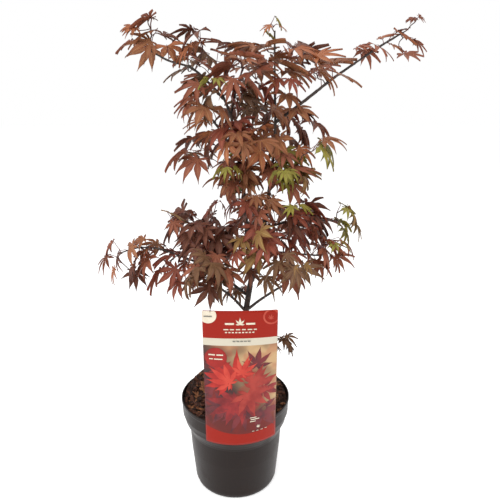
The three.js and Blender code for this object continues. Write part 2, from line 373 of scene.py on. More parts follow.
@dataclass(frozen=True)
class LeafFinish:
    """A satin leaf with a darker toothed margin, a pale midrib and fine side veins."""

    tint: Tint
    roughness: float = 0.42
    side_veins: float = 9.0

    def material(self) -> bpy.types.Material:
        """Builds the leaf's material on the strip coordinates of its lobes."""
        recipe = Recipe(f"leaf_{self.tint.name.lower()}")
        across, along = recipe.sheet_place("LeafUV")
        side = abs(across * 2.0 - 1.0)
        midrib = 1.0 - side.between(0.02, 0.16)
        slant = (along * self.side_veins - side * 1.5).fract()
        side_vein = (1.0 - abs(slant * 2.0 - 1.0)).between(0.8, 1.0) * (1.0 - side)
        mottle = recipe.speckle(5.0, 2.0, recipe.vector(across * 0.6, along * 2.0))
        edge = (side ** 2.0) * 0.55 + mottle * 0.3
        body = recipe.blend(edge, self.tint.blade, self.tint.margin)
        veined = recipe.blend(midrib * 0.75 + side_vein * 0.22, body, self.tint.vein)
        recipe.relief(midrib * 0.6 + side_vein * 0.5 + mottle * 0.3, 0.35 * MM)
        return recipe.finish(
            base_color=veined, roughness=self.roughness + mottle * 0.15, specular_ior_level=0.24
        )


@dataclass(frozen=True)
class BarkFinish:
    """Smooth young bark with fine lengthwise cracks and pale breathing pores."""

    name: str
    base: Colour
    crack: Colour
    pore: Colour
    roughness: float

    def material(self) -> bpy.types.Material:
        """Builds the bark's material on object coordinates."""
        recipe = Recipe(self.name)
        grain = recipe.speckle(1.0, 4.0, recipe.stretched((900.0, 900.0, 140.0)))
        patch = recipe.speckle(70.0, 3.0)
        pores = recipe.speckle(1.0, 1.0, recipe.stretched((420.0, 420.0, 900.0))).between(0.66, 0.74)
        streaks = recipe.blend(grain.between(0.35, 0.7), self.crack, self.base)
        mottled = recipe.blend(patch.between(0.45, 0.75) * 0.45, streaks, self.pore)
        skin = recipe.blend(pores * 0.7, mottled, self.pore)
        recipe.relief(grain * 0.7 + pores * 0.5, 0.5 * MM)
        return recipe.finish(base_color=skin, roughness=self.roughness + patch * 0.1)


@dataclass(frozen=True)
class PotPlasticFinish:
    """Thin recycled black plastic: satin, faintly grained, dusty in places."""

    base: Colour = linear(27, 17, 14)
    dust: Colour = linear(44, 33, 28)
    roughness: float = 0.38

    def material(self) -> bpy.types.Material:
        """Builds the pot's material on object coordinates."""
        recipe = Recipe("pot_plastic")
        dust = recipe.speckle(38.0, 6.0).between(0.45, 0.85)
        streak = recipe.speckle(1.0, 3.0, recipe.stretched((160.0, 160.0, 14.0))).between(0.5, 0.9)
        grain = recipe.speckle(1500.0, 2.0)
        colour = recipe.blend(dust * 0.28 + streak * 0.18, self.base, self.dust)
        recipe.relief(grain, 0.06 * MM)
        return recipe.finish(
            base_color=colour, roughness=self.roughness + dust * 0.18 + streak * 0.06, specular_ior_level=0.17
        )


@dataclass(frozen=True)
class MulchFinish:
    """Damp bark chips or the fibre under them."""

    name: str
    light: Colour
    dark: Colour

    def material(self) -> bpy.types.Material:
        """Builds the mulch's material on object coordinates."""
        recipe = Recipe(self.name)
        fibre = recipe.speckle(1.0, 5.0, recipe.stretched((260.0, 520.0, 700.0)))
        grit = recipe.speckle(900.0, 3.0)
        colour = recipe.blend(fibre.between(0.3, 0.7), self.dark, self.light)
        recipe.relief(fibre * 0.6 + grit * 0.4, 0.8 * MM)
        return recipe.finish(base_color=colour, roughness=0.82 + grit * 0.12)


@dataclass(frozen=True)
class InkFinish:
    """One plain printed ink under a glossy film, a little uneven."""

    name: str
    ink: Colour
    shade: Colour
    roughness: float = 0.34

    def material(self) -> bpy.types.Material:
        """Builds the ink's material on object coordinates."""
        recipe = Recipe(self.name)
        wash = recipe.speckle(60.0, 2.0).between(0.3, 0.75)
        colour = recipe.blend(wash, self.ink, self.shade)
        return recipe.finish(base_color=colour, roughness=self.roughness, specular_ior_level=0.25)


@dataclass(frozen=True)
class CardFinish:
    """The picture card's print: red header, cream strip, blurred garden and a red foot."""

    header: Colour = linear(142, 26, 10)
    strip: Colour = linear(194, 186, 168)
    shade: Colour = linear(62, 42, 42)
    haze: Colour = linear(184, 152, 112)
    glow: Colour = linear(146, 38, 32)
    dusk: Colour = linear(99, 36, 32)
    header_foot: float = 0.808
    strip_foot: float = 0.756
    foot_top: float = 0.085

    def material(self) -> bpy.types.Material:
        """Builds the print on the card's own sheet coordinates."""
        recipe = Recipe("picture_card")
        across, up = recipe.sheet_place("CardUV")
        soft = recipe.speckle(3.4, 1.5, recipe.vector(across, up * 2.0)).between(0.38, 0.62)
        blot = recipe.speckle(5.0, 1.0, recipe.vector(across + 4.0, up * 2.0)).between(0.42, 0.6)
        beige = (across * 0.8 + up * 1.1).between(0.75, 1.2) * (0.45 + soft * 0.55)
        garden = recipe.blend(beige, self.shade, self.haze)
        garden = recipe.blend(blot * 0.7 * (1.0 - up * 0.8), garden, self.glow)
        garden = recipe.blend((1.0 - up.between(0.12, 0.34)) * 0.85, garden, self.dusk)
        arc = up - (abs(across - 0.55) ** 2.0) * 0.16
        card = recipe.blend(arc.between(self.foot_top - 0.002, self.foot_top + 0.002), self.header, garden)
        card = recipe.blend(up.between(self.strip_foot - 0.001, self.strip_foot + 0.001), card, self.strip)
        card = recipe.blend(up.between(self.header_foot - 0.001, self.header_foot + 0.001), card, self.header)
        return recipe.finish(base_color=card, roughness=0.34, specular_ior_level=0.16)


# ------------------------------------------------------------------ pot
@dataclass
class NurseryPot:
    """A deep-collared round nursery pot, turned up from its foot."""

    wall: float = 1.8 * MM
    floor: float = 2.6 * MM
    collar_foot: float = 128 * MM
    collar_foot_radius: float = 90.5 * MM
    body_top: float = 110 * MM
    body_top_radius: float = 82 * MM
    foot_radius: float = 74 * MM
    shoulder: float = 4.5 * MM
    corner: float = 8 * MM
    sides: int = 128
    rim_radius: float = field(init=False)
    height: float = field(init=False)

    def __post_init__(self) -> None:
        """Takes the rim and the height from the frame."""
        low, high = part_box("pot")
        self.rim_radius = high.x
        self.height = high.z

    def _side(self, inset: float) -> list[tuple[float, float]]:
        """The wall from foot to rim, drawn in by an inset."""
        shoulder = self.body_top_radius + self.shoulder
        return [
            (self.foot_radius - inset, self.corner * 1.6),
            (self.foot_radius + 2.6 * MM - inset, 40 * MM),
            (self.foot_radius + 5.4 * MM - inset, 70 * MM),
            (self.body_top_radius - 0.4 * MM - inset, self.body_top - 4 * MM),
            (self.body_top_radius + 0.8 * MM - inset, self.body_top + 1 * MM),
            (shoulder - 1.2 * MM - inset, self.body_top + 7 * MM),
            (shoulder + 1.2 * MM - inset, self.body_top + 11.5 * MM),
            (self.collar_foot_radius - 0.8 * MM - inset, self.collar_foot - 2 * MM),
            (self.collar_foot_radius + 0.3 * MM - inset, self.collar_foot + 3 * MM),
            (self.rim_radius - 1.5 * MM - inset, self.height - 27 * MM),
        ]

    def build(self) -> None:
        """Turns the shell, outside and inside, and dresses it."""
        foot = self.foot_radius
        rim = self.rim_radius
        outside = [
            (foot - self.corner - 6 * MM, 1.2 * MM),
            (foot - self.corner - 3 * MM, 0.0),
            (foot - self.corner, 0.0),
            (foot - self.corner * 0.32, self.corner * 0.32),
            (foot - 0.6 * MM, self.corner),
            *self._side(0.0),
            (rim - 0.5 * MM, self.height - 7 * MM),
            (rim, self.height - 5.5 * MM),
            (rim, self.height - 0.8 * MM),
            (rim - 0.5 * MM, self.height),
            (rim - self.wall, self.height),
            (rim - self.wall - 0.4 * MM, self.height - 1.0 * MM),
        ]
        inside = [
            *reversed(self._side(self.wall)),
            (foot - self.wall - self.corner * 0.6, self.floor + 1.2 * MM),
            (foot - self.wall - self.corner, self.floor),
        ]
        shell = turned_shell("pot_shell", [*outside, *inside], self.sides)
        wear(shell, PotPlasticFinish().material(), "pot_plastic", "pot")


# ------------------------------------------------------------------ compost
@dataclass(frozen=True)
class Litter:
    """Chips of one kind: their number, share of the bed, sizes against a whole chip, and tilt in radians."""

    count: int
    spread: float
    size: tuple[float, float]
    tilt: float


@dataclass
class Compost:
    """The potting mix under a loose mulch of bark chips."""

    seed: int = 11
    chips: Litter = Litter(560, 0.96, (0.55, 1.35), 0.48)
    crumbs: Litter = Litter(1500, 0.99, (0.16, 0.42), 0.55)
    chip_shapes: int = 7
    chip_size: tuple[float, float, float] = (16 * MM, 5 * MM, 2.4 * MM)
    edge_radius: float = 91.5 * MM
    edge_height: float = 153 * MM
    heap_height: float = 157 * MM
    back_rise: float = 22.4 * MM
    lump: float = 2.2 * MM
    rings: int = 22
    sides: int = 96

    def height(self, x: float, y: float) -> float:
        """Height of the bed over a place."""
        out = min(1.0, math.hypot(x, y) / self.edge_radius)
        lump = noise.fractal(Vector((x, y, 0.3)) * 55.0, 0.6, 2.0, 3) * self.lump
        back = max(0.0, y / self.edge_radius + 0.25) ** 1.4 * self.back_rise
        return self.heap_height + (self.edge_height - self.heap_height) * out ** 2.2 + back + lump

    def _bed(self) -> bpy.types.Object:
        """The bed, drawn in ring by ring from the pot's wall."""
        reach = self.edge_radius
        inward = [1.0 - ring / (self.rings + 1) for ring in range(self.rings + 1)]
        profile = [(reach * 0.9, self.edge_height - 40 * MM), (reach * 0.97, self.edge_height - 24 * MM)]
        profile += [(reach * part, self.edge_height) for part in inward]
        bed = turned_shell("compost_bed", profile, self.sides)
        for corner in bed.data.vertices:
            if corner.co.z > self.edge_height - 10 * MM:
                corner.co.z = self.height(corner.co.x, corner.co.y)
        return bed

    def _chip(self, rng: random.Random) -> Surface:
        """One splintered chip: a box split once, pinched and knocked out of true."""
        deselect()
        bpy.ops.mesh.primitive_cube_add(size=1.0)
        made = bpy.context.object
        bpy.ops.object.mode_set(mode="EDIT")
        bpy.ops.mesh.subdivide(number_cuts=1)
        bpy.ops.object.mode_set(mode="OBJECT")
        for corner in made.data.vertices:
            pinch = 1.0 - 0.45 * abs(corner.co.x) * 2.0 * rng.random()
            corner.co.y *= pinch
            corner.co.z *= pinch
            corner.co += Vector([rng.uniform(-0.11, 0.11) for _ in range(3)])
            corner.co = Vector([a * b for a, b in zip(corner.co, self.chip_size)])
        points = np.array([corner.co for corner in made.data.vertices])
        faces = [tuple(face.vertices) for face in made.data.polygons]
        bpy.data.objects.remove(made)
        return Surface(points, faces)

    def _scatter(
        self, masters: list[Surface], litter: Litter, share: float, rng: random.Random
    ) -> list[Surface]:
        """Copies chips over the bed, each lying at its own angle.

        Args:
            masters: The chips to copy.
            litter: How many chips there are and how they lie.
            share: The part of them that is laid.
            rng: Deals places, turns and sizes.

        Returns:
            The chips that lie inside the pot.
        """
        laid = []
        for _ in range(int(litter.count * share)):
            out = self.edge_radius * math.sqrt(rng.uniform(0.0, litter.spread))
            turn = rng.uniform(0.0, 2.0 * math.pi)
            x, y = out * math.cos(turn), out * math.sin(turn)
            size = rng.uniform(*litter.size)
            pose = Matrix.Translation((x, y, self.height(x, y) + size * rng.uniform(0.4, 2.6) * MM))
            pose = pose @ Matrix.Rotation(rng.uniform(0, 2 * math.pi), 4, "Z")
            for axis in ("X", "Y"):
                pose = pose @ Matrix.Rotation(rng.gauss(0.0, litter.tilt), 4, axis)
            wide, thick = size * rng.uniform(0.5, 1.2), size * rng.uniform(0.7, 1.5)
            pose = pose @ Matrix.Diagonal((size, wide, thick, 1.0))
            master = rng.choice(masters)
            turned = master.points @ np.array(pose.to_3x3()).T + np.array(pose.translation)
            reach = np.hypot(turned[:, 0], turned[:, 1]).max()
            if reach < self.edge_radius + 0.5 * MM:
                laid.append(Surface(turned, master.faces))
        return laid

    def build(self) -> None:
        """Makes the bed and three colours of chips."""
        rng = random.Random(self.seed)
        bed = self._bed()
        mulch = MulchFinish("compost_fibre", linear(62, 36, 23), linear(22, 13, 9))
        wear(bed, mulch.material(), "bark_mulch", "compost")
        masters = [self._chip(rng) for _ in range(self.chip_shapes)]
        colours = (
            (MulchFinish("chip_dark", linear(58, 29, 16), linear(24, 12, 7)), 0.46),
            (MulchFinish("chip_brown", linear(96, 51, 29), linear(48, 24, 14)), 0.34),
            (MulchFinish("chip_pale", linear(150, 98, 60), linear(86, 48, 28)), 0.2),
        )
        for finish, share in colours:
            laid = self._scatter(masters, self.chips, share, rng)
            laid += self._scatter(masters, self.crumbs, share, rng)
            chips = piece_from(finish.name + "s", joined(laid), smooth=False)
            wear(chips, finish.material(), "bark_mulch")


# ------------------------------------------------------------------ leaves
@dataclass(frozen=True)
class Lobe:
    """One finger of a leaf: its angle off the middle one, and its length and width against that one."""

    angle: float
    length: float
    width: float


@dataclass(frozen=True)
class LeafPattern:
    """A deeply cut hand-shaped leaf, drawn out finger by finger from a small fan.

    Sinus is how far out the notches between its fingers lie, against the middle finger. Cell is the
    quarter of the bake sheet that it is laid out in, rows are those of one finger, and teeth is how
    far the edge swings in and out from row to row.
    """

    name: str
    lobes: tuple[Lobe, ...]
    sinus: float
    cell: tuple[float, float]
    rows: int = 8
    teeth: float = 0.045

    def _hub(self) -> list[Vector]:
        """Corners of the fan, round from the back: a notch, then sinus and finger roots by turns."""
        angles = [lobe.angle for lobe in self.lobes]
        corners = [(180.0, self.sinus * 0.12), (angles[0] - 24.0, self.sinus * 0.55)]
        for place, lobe in enumerate(self.lobes):
            reach = min(self.sinus, lobe.length * 0.34)
            corners.append((lobe.angle, reach * 1.04))
            if place + 1 < len(angles):
                shorter = min(lobe.length, self.lobes[place + 1].length)
                corners.append(((lobe.angle + angles[place + 1]) / 2.0, min(self.sinus, shorter * 0.36)))
        corners.append((angles[-1] + 24.0, self.sinus * 0.55))
        return [
            Vector((math.cos(math.radians(turn)) * reach, math.sin(math.radians(turn)) * reach, 0.0))
            for turn, reach in corners
        ]

    def _half_width(self, lobe: Lobe, along: float, root: float) -> float:
        """Half the finger's width at a part of its free length: swelling, then drawn out to a point."""
        swell = 0.5 * lobe.width * math.sin(math.pi * along ** 0.8) ** 1.5
        return max(0.65 * root * (1.0 - along) ** 3 + swell, 0.004)

    def model(self) -> "LeafBlade":
        """Models the flat blade.

        Returns:
            The blade as arrays, ready to be posed and copied.
        """
        hub = self._hub()
        deselect()
        bpy.ops.mesh.primitive_circle_add(vertices=len(hub), radius=self.sinus, fill_type="TRIFAN")
        made = bpy.context.object
        made.name = self.name
        centre = min(made.data.vertices, key=lambda corner: corner.co.length).index
        rim = [corner.index for corner in made.data.vertices if corner.index != centre]
        rim.sort(key=lambda index: math.atan2(made.data.vertices[index].co.y, made.data.vertices[index].co.x))
        hub_order = sorted(range(len(hub)), key=lambda place: math.atan2(hub[place].y, hub[place].x))
        of_hub = dict(zip(hub_order, rim))
        for place, index in of_hub.items():
            made.data.vertices[index].co = hub[place]
        strip = {centre: (0, 0.0, 0.0)}
        bpy.ops.object.mode_set(mode="EDIT")
        bpy.ops.mesh.select_mode(type="EDGE")
        for number, lobe in enumerate(self.lobes):
            roots = [of_hub[1 + 2 * number], of_hub[2 + 2 * number], of_hub[3 + 2 * number]]
            self._draw_finger(made, lobe, number, roots, strip)
        bpy.ops.object.mode_set(mode="OBJECT")
        blade = LeafBlade.from_mesh(self, made, centre, of_hub, strip)
        bpy.data.objects.remove(made)
        return blade

    def _draw_finger(
        self,
        made: bpy.types.Object,
        lobe: Lobe,
        number: int,
        roots: list[int],
        strip: dict[int, tuple[int, float, float]],
    ) -> None:
        """Extrudes one finger row by row and notes where each new corner lies in it.

        Args:
            made: The blade, in edit mode.
            lobe: The finger.
            number: Its place in the pattern.
            roots: The three hub corners it grows from, right to left.
            strip: Filled with each corner's finger, side (-1 to 1) and part of the length.
        """
        way = Vector((math.cos(math.radians(lobe.angle)), math.sin(math.radians(lobe.angle)), 0.0))
        side = Vector((-way.y, way.x, 0.0))
        mesh = bmesh.from_edit_mesh(made.data)
        mesh.verts.ensure_lookup_table()
        start = mesh.verts[roots[1]].co.dot(way)
        root_width = 0.5 * (mesh.verts[roots[2]].co - mesh.verts[roots[0]].co).length
        current = list(roots)
        for row in range(1, self.rows + 1):
            along = (row / self.rows) ** 0.92
            reach = start + (lobe.length - start) * along
            width = self._half_width(lobe, along, root_width)
            if row < self.rows:
                width *= 1.0 + (self.teeth if row % 2 else -self.teeth)
            mesh = bmesh.from_edit_mesh(made.data)
            mesh.verts.ensure_lookup_table()
            for edge in mesh.edges:
                edge.select_set({edge.verts[0].index, edge.verts[1].index} <= set(current))
            bmesh.update_edit_mesh(made.data)
            bpy.ops.mesh.extrude_edges_move(TRANSFORM_OT_translate={"value": way * 0.01})
            mesh = bmesh.from_edit_mesh(made.data)
            mesh.verts.index_update()
            fresh = [corner for corner in mesh.verts if corner.select]
            fresh.sort(key=lambda corner: corner.co.dot(side))
            lean = 0.5 * width if row < self.rows else 0.0
            for corner, place in zip(fresh, (-1.0, 0.0, 1.0)):
                corner.co = way * (reach - abs(place) * lean) + side * (place * width)
                strip[corner.index] = (number, place, reach / lobe.length)
            current = [corner.index for corner in fresh]
            bmesh.update_edit_mesh(made.data)


def is_finger_root(place: int) -> bool:
    """Whether a place round a leaf's hub is the middle of a finger's foot, not a sinus or the back notch."""
    return place >= 2 and place % 2 == 0


@dataclass
class LeafBlade:
    """A flat leaf as arrays: the middle finger is 1 long and lies along +X, and +Z is its upper face."""

    pattern: LeafPattern
    points: np.ndarray
    faces: list[tuple[int, ...]]
    strip: np.ndarray
    flat: np.ndarray
    finger: np.ndarray
    side: np.ndarray

    @classmethod
    def from_mesh(
        cls,
        pattern: LeafPattern,
        made: bpy.types.Object,
        centre: int,
        of_hub: dict[int, int],
        strip: dict[int, tuple[int, float, float]],
    ) -> "LeafBlade":
        """Reads a modelled blade and lays out its two UV maps.

        Args:
            pattern: What it was drawn from.
            made: The modelled mesh.
            centre: The corner where the stalk joins.
            of_hub: Corner of each hub place.
            strip: Each finger corner's finger, side and part of the length.

        Returns:
            The blade.
        """
        mesh = made.data
        points = np.array([corner.co for corner in mesh.vertices])
        hub_place = {index: place for place, index in of_hub.items()}
        angles = [lobe.angle for lobe in pattern.lobes]
        faces, rows, flats = [], [], []
        for face in mesh.polygons:
            corners = tuple(face.vertices)
            middle = points[list(corners)].mean(axis=0)
            turn = math.degrees(math.atan2(middle[1], middle[0]))
            owners = [strip[corner][0] for corner in corners if corner in strip and corner != centre]
            number = owners[0] if owners else int(np.argmin([abs(turn - angle) for angle in angles]))
            lobe = pattern.lobes[number]
            faces.append(corners)
            for corner in corners:
                if corner == centre:
                    rows.append((0.5, 0.0))
                elif corner in strip:
                    rows.append((0.5 + 0.5 * strip[corner][1], strip[corner][2]))
                else:
                    place = hub_place[corner]
                    edge = -1.0 if place <= 1 + 2 * number else 1.0
                    if is_finger_root(place):
                        edge = 0.0
                    rows.append((0.5 + 0.5 * edge, float(np.linalg.norm(points[corner])) / lobe.length))
                flats.append([cell + 0.25 + 0.2 * at for cell, at in zip(pattern.cell, points[corner])])
        finger = np.zeros(len(points), int)
        side = np.zeros(len(points))
        for corner, (number, place, _) in strip.items():
            finger[corner] = number
            side[corner] = place
        for corner, place in hub_place.items():
            turn = math.degrees(math.atan2(points[corner][1], points[corner][0]))
            finger[corner] = int(np.argmin([abs(turn - angle) for angle in angles]))
            side[corner] = 0.0 if is_finger_root(place) else 1.0
        return cls(pattern, points, faces, np.array(rows), np.array(flats), finger, side)

    def posed(self, leaf: "Leaf", rng: random.Random) -> Surface:
        """Bends a copy of the blade and sets it on its stalk.

        Args:
            leaf: Where and how it hangs.
            rng: Gives each finger its own small droop and turn.

        Returns:
            The copy, in the frame's place.
        """
        x, y = self.points[:, 0].copy(), self.points[:, 1].copy()
        reach = np.hypot(x, y)
        turn = np.arctan2(y, x)
        fingers = len(self.pattern.lobes)
        droop = np.array([leaf.droop * rng.uniform(0.7, 1.35) for _ in range(fingers)])[self.finger]
        sweep = np.array([rng.gauss(0.0, math.radians(3.5)) for _ in range(fingers)])[self.finger]
        turn = turn * leaf.spread + sweep * np.clip(reach * 2.0, 0.0, 1.0)
        bend = np.maximum(droop, 1e-3)
        angle = bend * reach ** 1.3
        out = np.where(angle > 1e-4, np.sin(angle) / np.maximum(angle, 1e-6), 1.0) * reach
        down = np.where(angle > 1e-4, (1.0 - np.cos(angle)) / np.maximum(angle, 1e-6), 0.0) * reach
        crease = leaf.fold * np.abs(self.side) * 0.07 * np.clip(reach * 3.0, 0.0, 1.0)
        local = np.stack([out * np.cos(turn), out * np.sin(turn), crease - down], axis=1) * leaf.length
        placed = local @ np.array(leaf.pose.to_3x3()).T + np.array(leaf.pose.translation)
        return Surface(placed, self.faces, self.strip, self.flat)


def hand(*fingers: tuple[float, float, float]) -> tuple[Lobe, ...]:
    """Fingers of a leaf given as the middle one and those of one side, mirrored."""
    middle = Lobe(*fingers[0])
    right = [Lobe(-angle, length, width) for angle, length, width in reversed(fingers[1:])]
    left = [Lobe(angle, length, width) for angle, length, width in fingers[1:]]
    return (*right, middle, *left)


FULL_HAND = hand((0, 1.0, 0.255), (36, 0.93, 0.235), (75, 0.72, 0.19), (121, 0.38, 0.12))
SLIM_HAND = hand((0, 1.0, 0.21), (34, 0.88, 0.19), (71, 0.64, 0.15), (117, 0.30, 0.09))
BROAD_HAND = hand((0, 1.0, 0.28), (40, 0.90, 0.25), (85, 0.62, 0.19))
YOUNG_HAND = hand((0, 1.0, 0.20), (30, 0.82, 0.17), (62, 0.50, 0.12))


class Pattern(Enum):
    """The outlines that leaves are dealt."""

    FULL = LeafPattern("full_hand", FULL_HAND, 0.20, (0.0, 0.0))
    SLIM = LeafPattern("slim_hand", SLIM_HAND, 0.17, (0.5, 0.0))
    BROAD = LeafPattern("broad_hand", BROAD_HAND, 0.22, (0.0, 0.5))
    YOUNG = LeafPattern("young_hand", YOUNG_HAND, 0.15, (0.5, 0.5))


# The outlines that a leaf may have when its middle finger is longer than a length.
PATTERNS_BY_LENGTH = (
    (38 * MM, (Pattern.FULL, Pattern.FULL, Pattern.SLIM, Pattern.SLIM, Pattern.BROAD)),
    (27 * MM, (Pattern.FULL, Pattern.SLIM, Pattern.SLIM)),
    (0.0, (Pattern.SLIM, Pattern.YOUNG, Pattern.YOUNG)),
)


@dataclass
class Leaf:
    """One leaf as it hangs: its stalk's path, and the blade's pose and size."""

    stalk: list[Vector]
    pose: Matrix
    length: float
    droop: float
    fold: float
    spread: float
    pattern: Pattern
    tint: Tint


# ------------------------------------------------------------------ limbs
@dataclass
class Strand:
    """A centre line with a radius at each point."""

    points: list[Vector]
    radii: list[float]

    def smoothed(self, step: float) -> "Strand":
        """The same line as a smooth curve with a point about every step."""
        points, radii = [], []
        last = len(self.points) - 1
        for place in range(last):
            before = self.points[max(0, place - 1)]
            start, end = self.points[place], self.points[place + 1]
            after = self.points[min(last, place + 2)]
            pieces = max(1, round((end - start).length / step))
            for piece in range(pieces):
                t = piece / pieces
                leave = (end - before) * 0.5 * (t - 2 * t * t + t ** 3)
                arrive = (after - start) * 0.5 * (t ** 3 - t * t)
                chord = start * (1 - 3 * t * t + 2 * t ** 3) + end * (3 * t * t - 2 * t ** 3)
                points.append(chord + (leave + arrive))
                radii.append(self.radii[place] * (1 - t) + self.radii[place + 1] * t)
        points.append(self.points[-1].copy())
        radii.append(self.radii[-1])
        return Strand(points, radii)


WELD = 0.02 * MM
RING_GAP = 9 * MM


def centre_line(node: str) -> Strand:
    """Finds a limb's centre line and radii from its solid.

    Corners closer than WELD are taken as one, and corners whose distances from one end of the limb
    lie within RING_GAP of each other are taken as one ring.

    Args:
        node: The limb's node in the frame.

    Returns:
        One point for each ring of the solid, from either end.
    """
    source = bpy.data.objects[node].data
    places: dict[tuple[int, ...], int] = {}
    corners: list[Vector] = []
    ids = []
    for corner in source.vertices:
        key = tuple(round(c / WELD) for c in corner.co)
        if key not in places:
            places[key] = len(corners)
            corners.append(corner.co.copy())
        ids.append(places[key])
    links: dict[int, set[int]] = {index: set() for index in range(len(corners))}
    for edge in source.edges:
        a, b = ids[edge.vertices[0]], ids[edge.vertices[1]]
        if a != b:
            links[a].add(b)
            links[b].add(a)

    def walk(start: int) -> list[float]:
        """Distance over the solid's edges from one corner to each other one."""
        far = [math.inf] * len(corners)
        far[start] = 0.0
        queue = [(0.0, start)]
        while queue:
            reached, here = heapq.heappop(queue)
            if reached > far[here]:
                continue
            for there in links[here]:
                onward = reached + (corners[there] - corners[here]).length
                if onward < far[there]:
                    far[there] = onward
                    heapq.heappush(queue, (onward, there))
        return far

    first = walk(0)
    one_end = max(range(len(corners)), key=lambda index: first[index] if first[index] < math.inf else -1.0)
    distances = walk(one_end)
    order = [index for index in range(len(corners)) if distances[index] < math.inf]
    order.sort(key=lambda index: distances[index])
    groups: list[list[int]] = [[order[0]]]
    for before, index in zip(order, order[1:]):
        if distances[index] - distances[before] > RING_GAP:
            groups.append([])
        groups[-1].append(index)
    points = [sum((corners[index] for index in group), Vector()) / len(group) for group in groups]
    radii = []
    for place, group in enumerate(groups):
        run = (points[min(place + 1, len(points) - 1)] - points[max(place - 1, 0)]).normalized()
        spread = []
        for index in group:
            off = corners[index] - points[place]
            spread.append((off - run * off.dot(run)).length)
        spread.sort()
        radii.append(spread[len(spread) // 2])
    return Strand(points, radii)


@dataclass
class Stems:
    """Trunk, leaders and boughs with the relief of young bark."""

    leaders: tuple[str, ...] = ("leader_left", "leader_right")
    trunk_foot: float = 9.5 * MM
    swell: tuple[float, float] = (1.35, 1.15)
    relief: float = 0.35 * MM
    ring_step: float = 2.2 * MM
    lines: dict[str, Strand] = field(default_factory=dict)

    def read(self, nodes: Iterable[str]) -> None:
        """Reads every limb's centre line and joins each to the limb it grows from."""
        boughs = sorted(name for name in nodes if name.endswith("_bough"))
        trunk = centre_line("trunk")
        if trunk.points[0].z > trunk.points[-1].z:
            trunk = Strand(trunk.points[::-1], trunk.radii[::-1])
        trunk.radii[0] = max(trunk.radii[0], self.trunk_foot)
        self.lines["trunk"] = trunk.smoothed(self.ring_step)
        for name in (*self.leaders, *boughs):
            self.lines[name] = self._rooted(centre_line(name)).smoothed(self.ring_step)

    def _rooted(self, line: Strand) -> Strand:
        """A limb's line turned to start at its parent's heart, with a swollen foot."""
        hearts = [point for made in self.lines.values() for point in made.points]
        starts = [min((heart - end).length for heart in hearts) for end in (line.points[0], line.points[-1])]
        if starts[1] < starts[0]:
            line = Strand(line.points[::-1], line.radii[::-1])
        begin = line.points[0]
        heart = min(hearts, key=lambda point: (point - begin).length)
        thick = sorted(line.radii[:4])[2]
        ends = [min(radius, thick) for radius in line.radii]
        ends[-1] = max(ends[-1], ends[-2] * 0.7)
        foot = [thick * part for part in self.swell]
        return Strand([heart.copy(), *line.points], [*foot, *ends[1:]])

    def build(self) -> None:
        """Sweeps every limb and roughens its bark."""
        made = sweep("stems", list(self.lines.values()), 4)
        self._roughen(made)
        finish = BarkFinish("stem_bark", linear(54, 40, 35), linear(28, 21, 19), linear(104, 84, 70), 0.62)
        wear(made, finish.material(), "bark", *self.lines)

    def _roughen(self, made: bpy.types.Object) -> None:
        """Raises fine ridges and old leaf scars on the bark."""
        for corner in made.data.vertices:
            place = corner.co
            ridge = noise.fractal(Vector((place.x * 420.0, place.y * 420.0, place.z * 60.0)), 0.7, 2.0, 3)
            lump = noise.noise(place * 90.0)
            corner.co = place + corner.normal * (ridge * self.relief + lump * self.relief)


def sweep(name: str, strands: Sequence[Strand], detail: int) -> bpy.types.Object:
    """Sweeps round sections along many lines and joins them in one mesh.

    Args:
        name: The piece's name.
        strands: The lines with their radii.
        detail: Curve bevel detail: more gives rounder sections.

    Returns:
        The piece.
    """
    curve = bpy.data.curves.new(name, "CURVE")
    curve.dimensions = "3D"
    curve.bevel_depth = 1.0
    curve.bevel_resolution = detail
    curve.use_fill_caps = True
    for strand in strands:
        spline = curve.splines.new("POLY")
        spline.points.add(len(strand.points) - 1)
        for point, place, radius in zip(spline.points, strand.points, strand.radii):
            point.co = (*place, 1.0)
            point.radius = radius
    made = bpy.data.objects.new(name, curve)
    bpy.context.scene.collection.objects.link(made)
    deselect()
    made.select_set(True)
    bpy.context.view_layer.objects.active = made
    bpy.ops.object.convert(target="MESH")
    made = bpy.context.object
    made.name = name
    made.data.shade_smooth()
    return made


# ------------------------------------------------------------------ crown
@dataclass
class Mass:
    """One mass of foliage in the frame: the space its leaves may fill."""

    name: str
    slot: str
    low: Vector
    high: Vector
    tree: BVHTree
    core: Vector
    beyond: float = 0.3

    @classmethod
    def read(cls, name: str, slot: str) -> "Mass":
        """Reads a mass's box and surface from its node."""
        low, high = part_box(name)
        mesh = bpy.data.objects[name].data
        tree = BVHTree.FromPolygons(
            [corner.co.copy() for corner in mesh.vertices], [tuple(face.vertices) for face in mesh.polygons]
        )
        return cls(name, slot, low, high, tree, (low + high) / 2)

    def half(self) -> Vector:
        """Half its sizes."""
        return (self.high - self.low) / 2

    def skin(self, way: Vector) -> Vector:
        """The point of its surface in a direction from its core, found from beyond it."""
        start = self.core + way * self.beyond
        hit = self.tree.ray_cast(start, -way)[0]
        return hit if hit is not None else self.core + way * min(self.half())

    def depth(self, place: Vector) -> float:
        """How far inside it a place lies, or less than 0 outside."""
        found, normal, _, away = self.tree.find_nearest(place)
        return away if (place - found).dot(normal) < 0 else -away


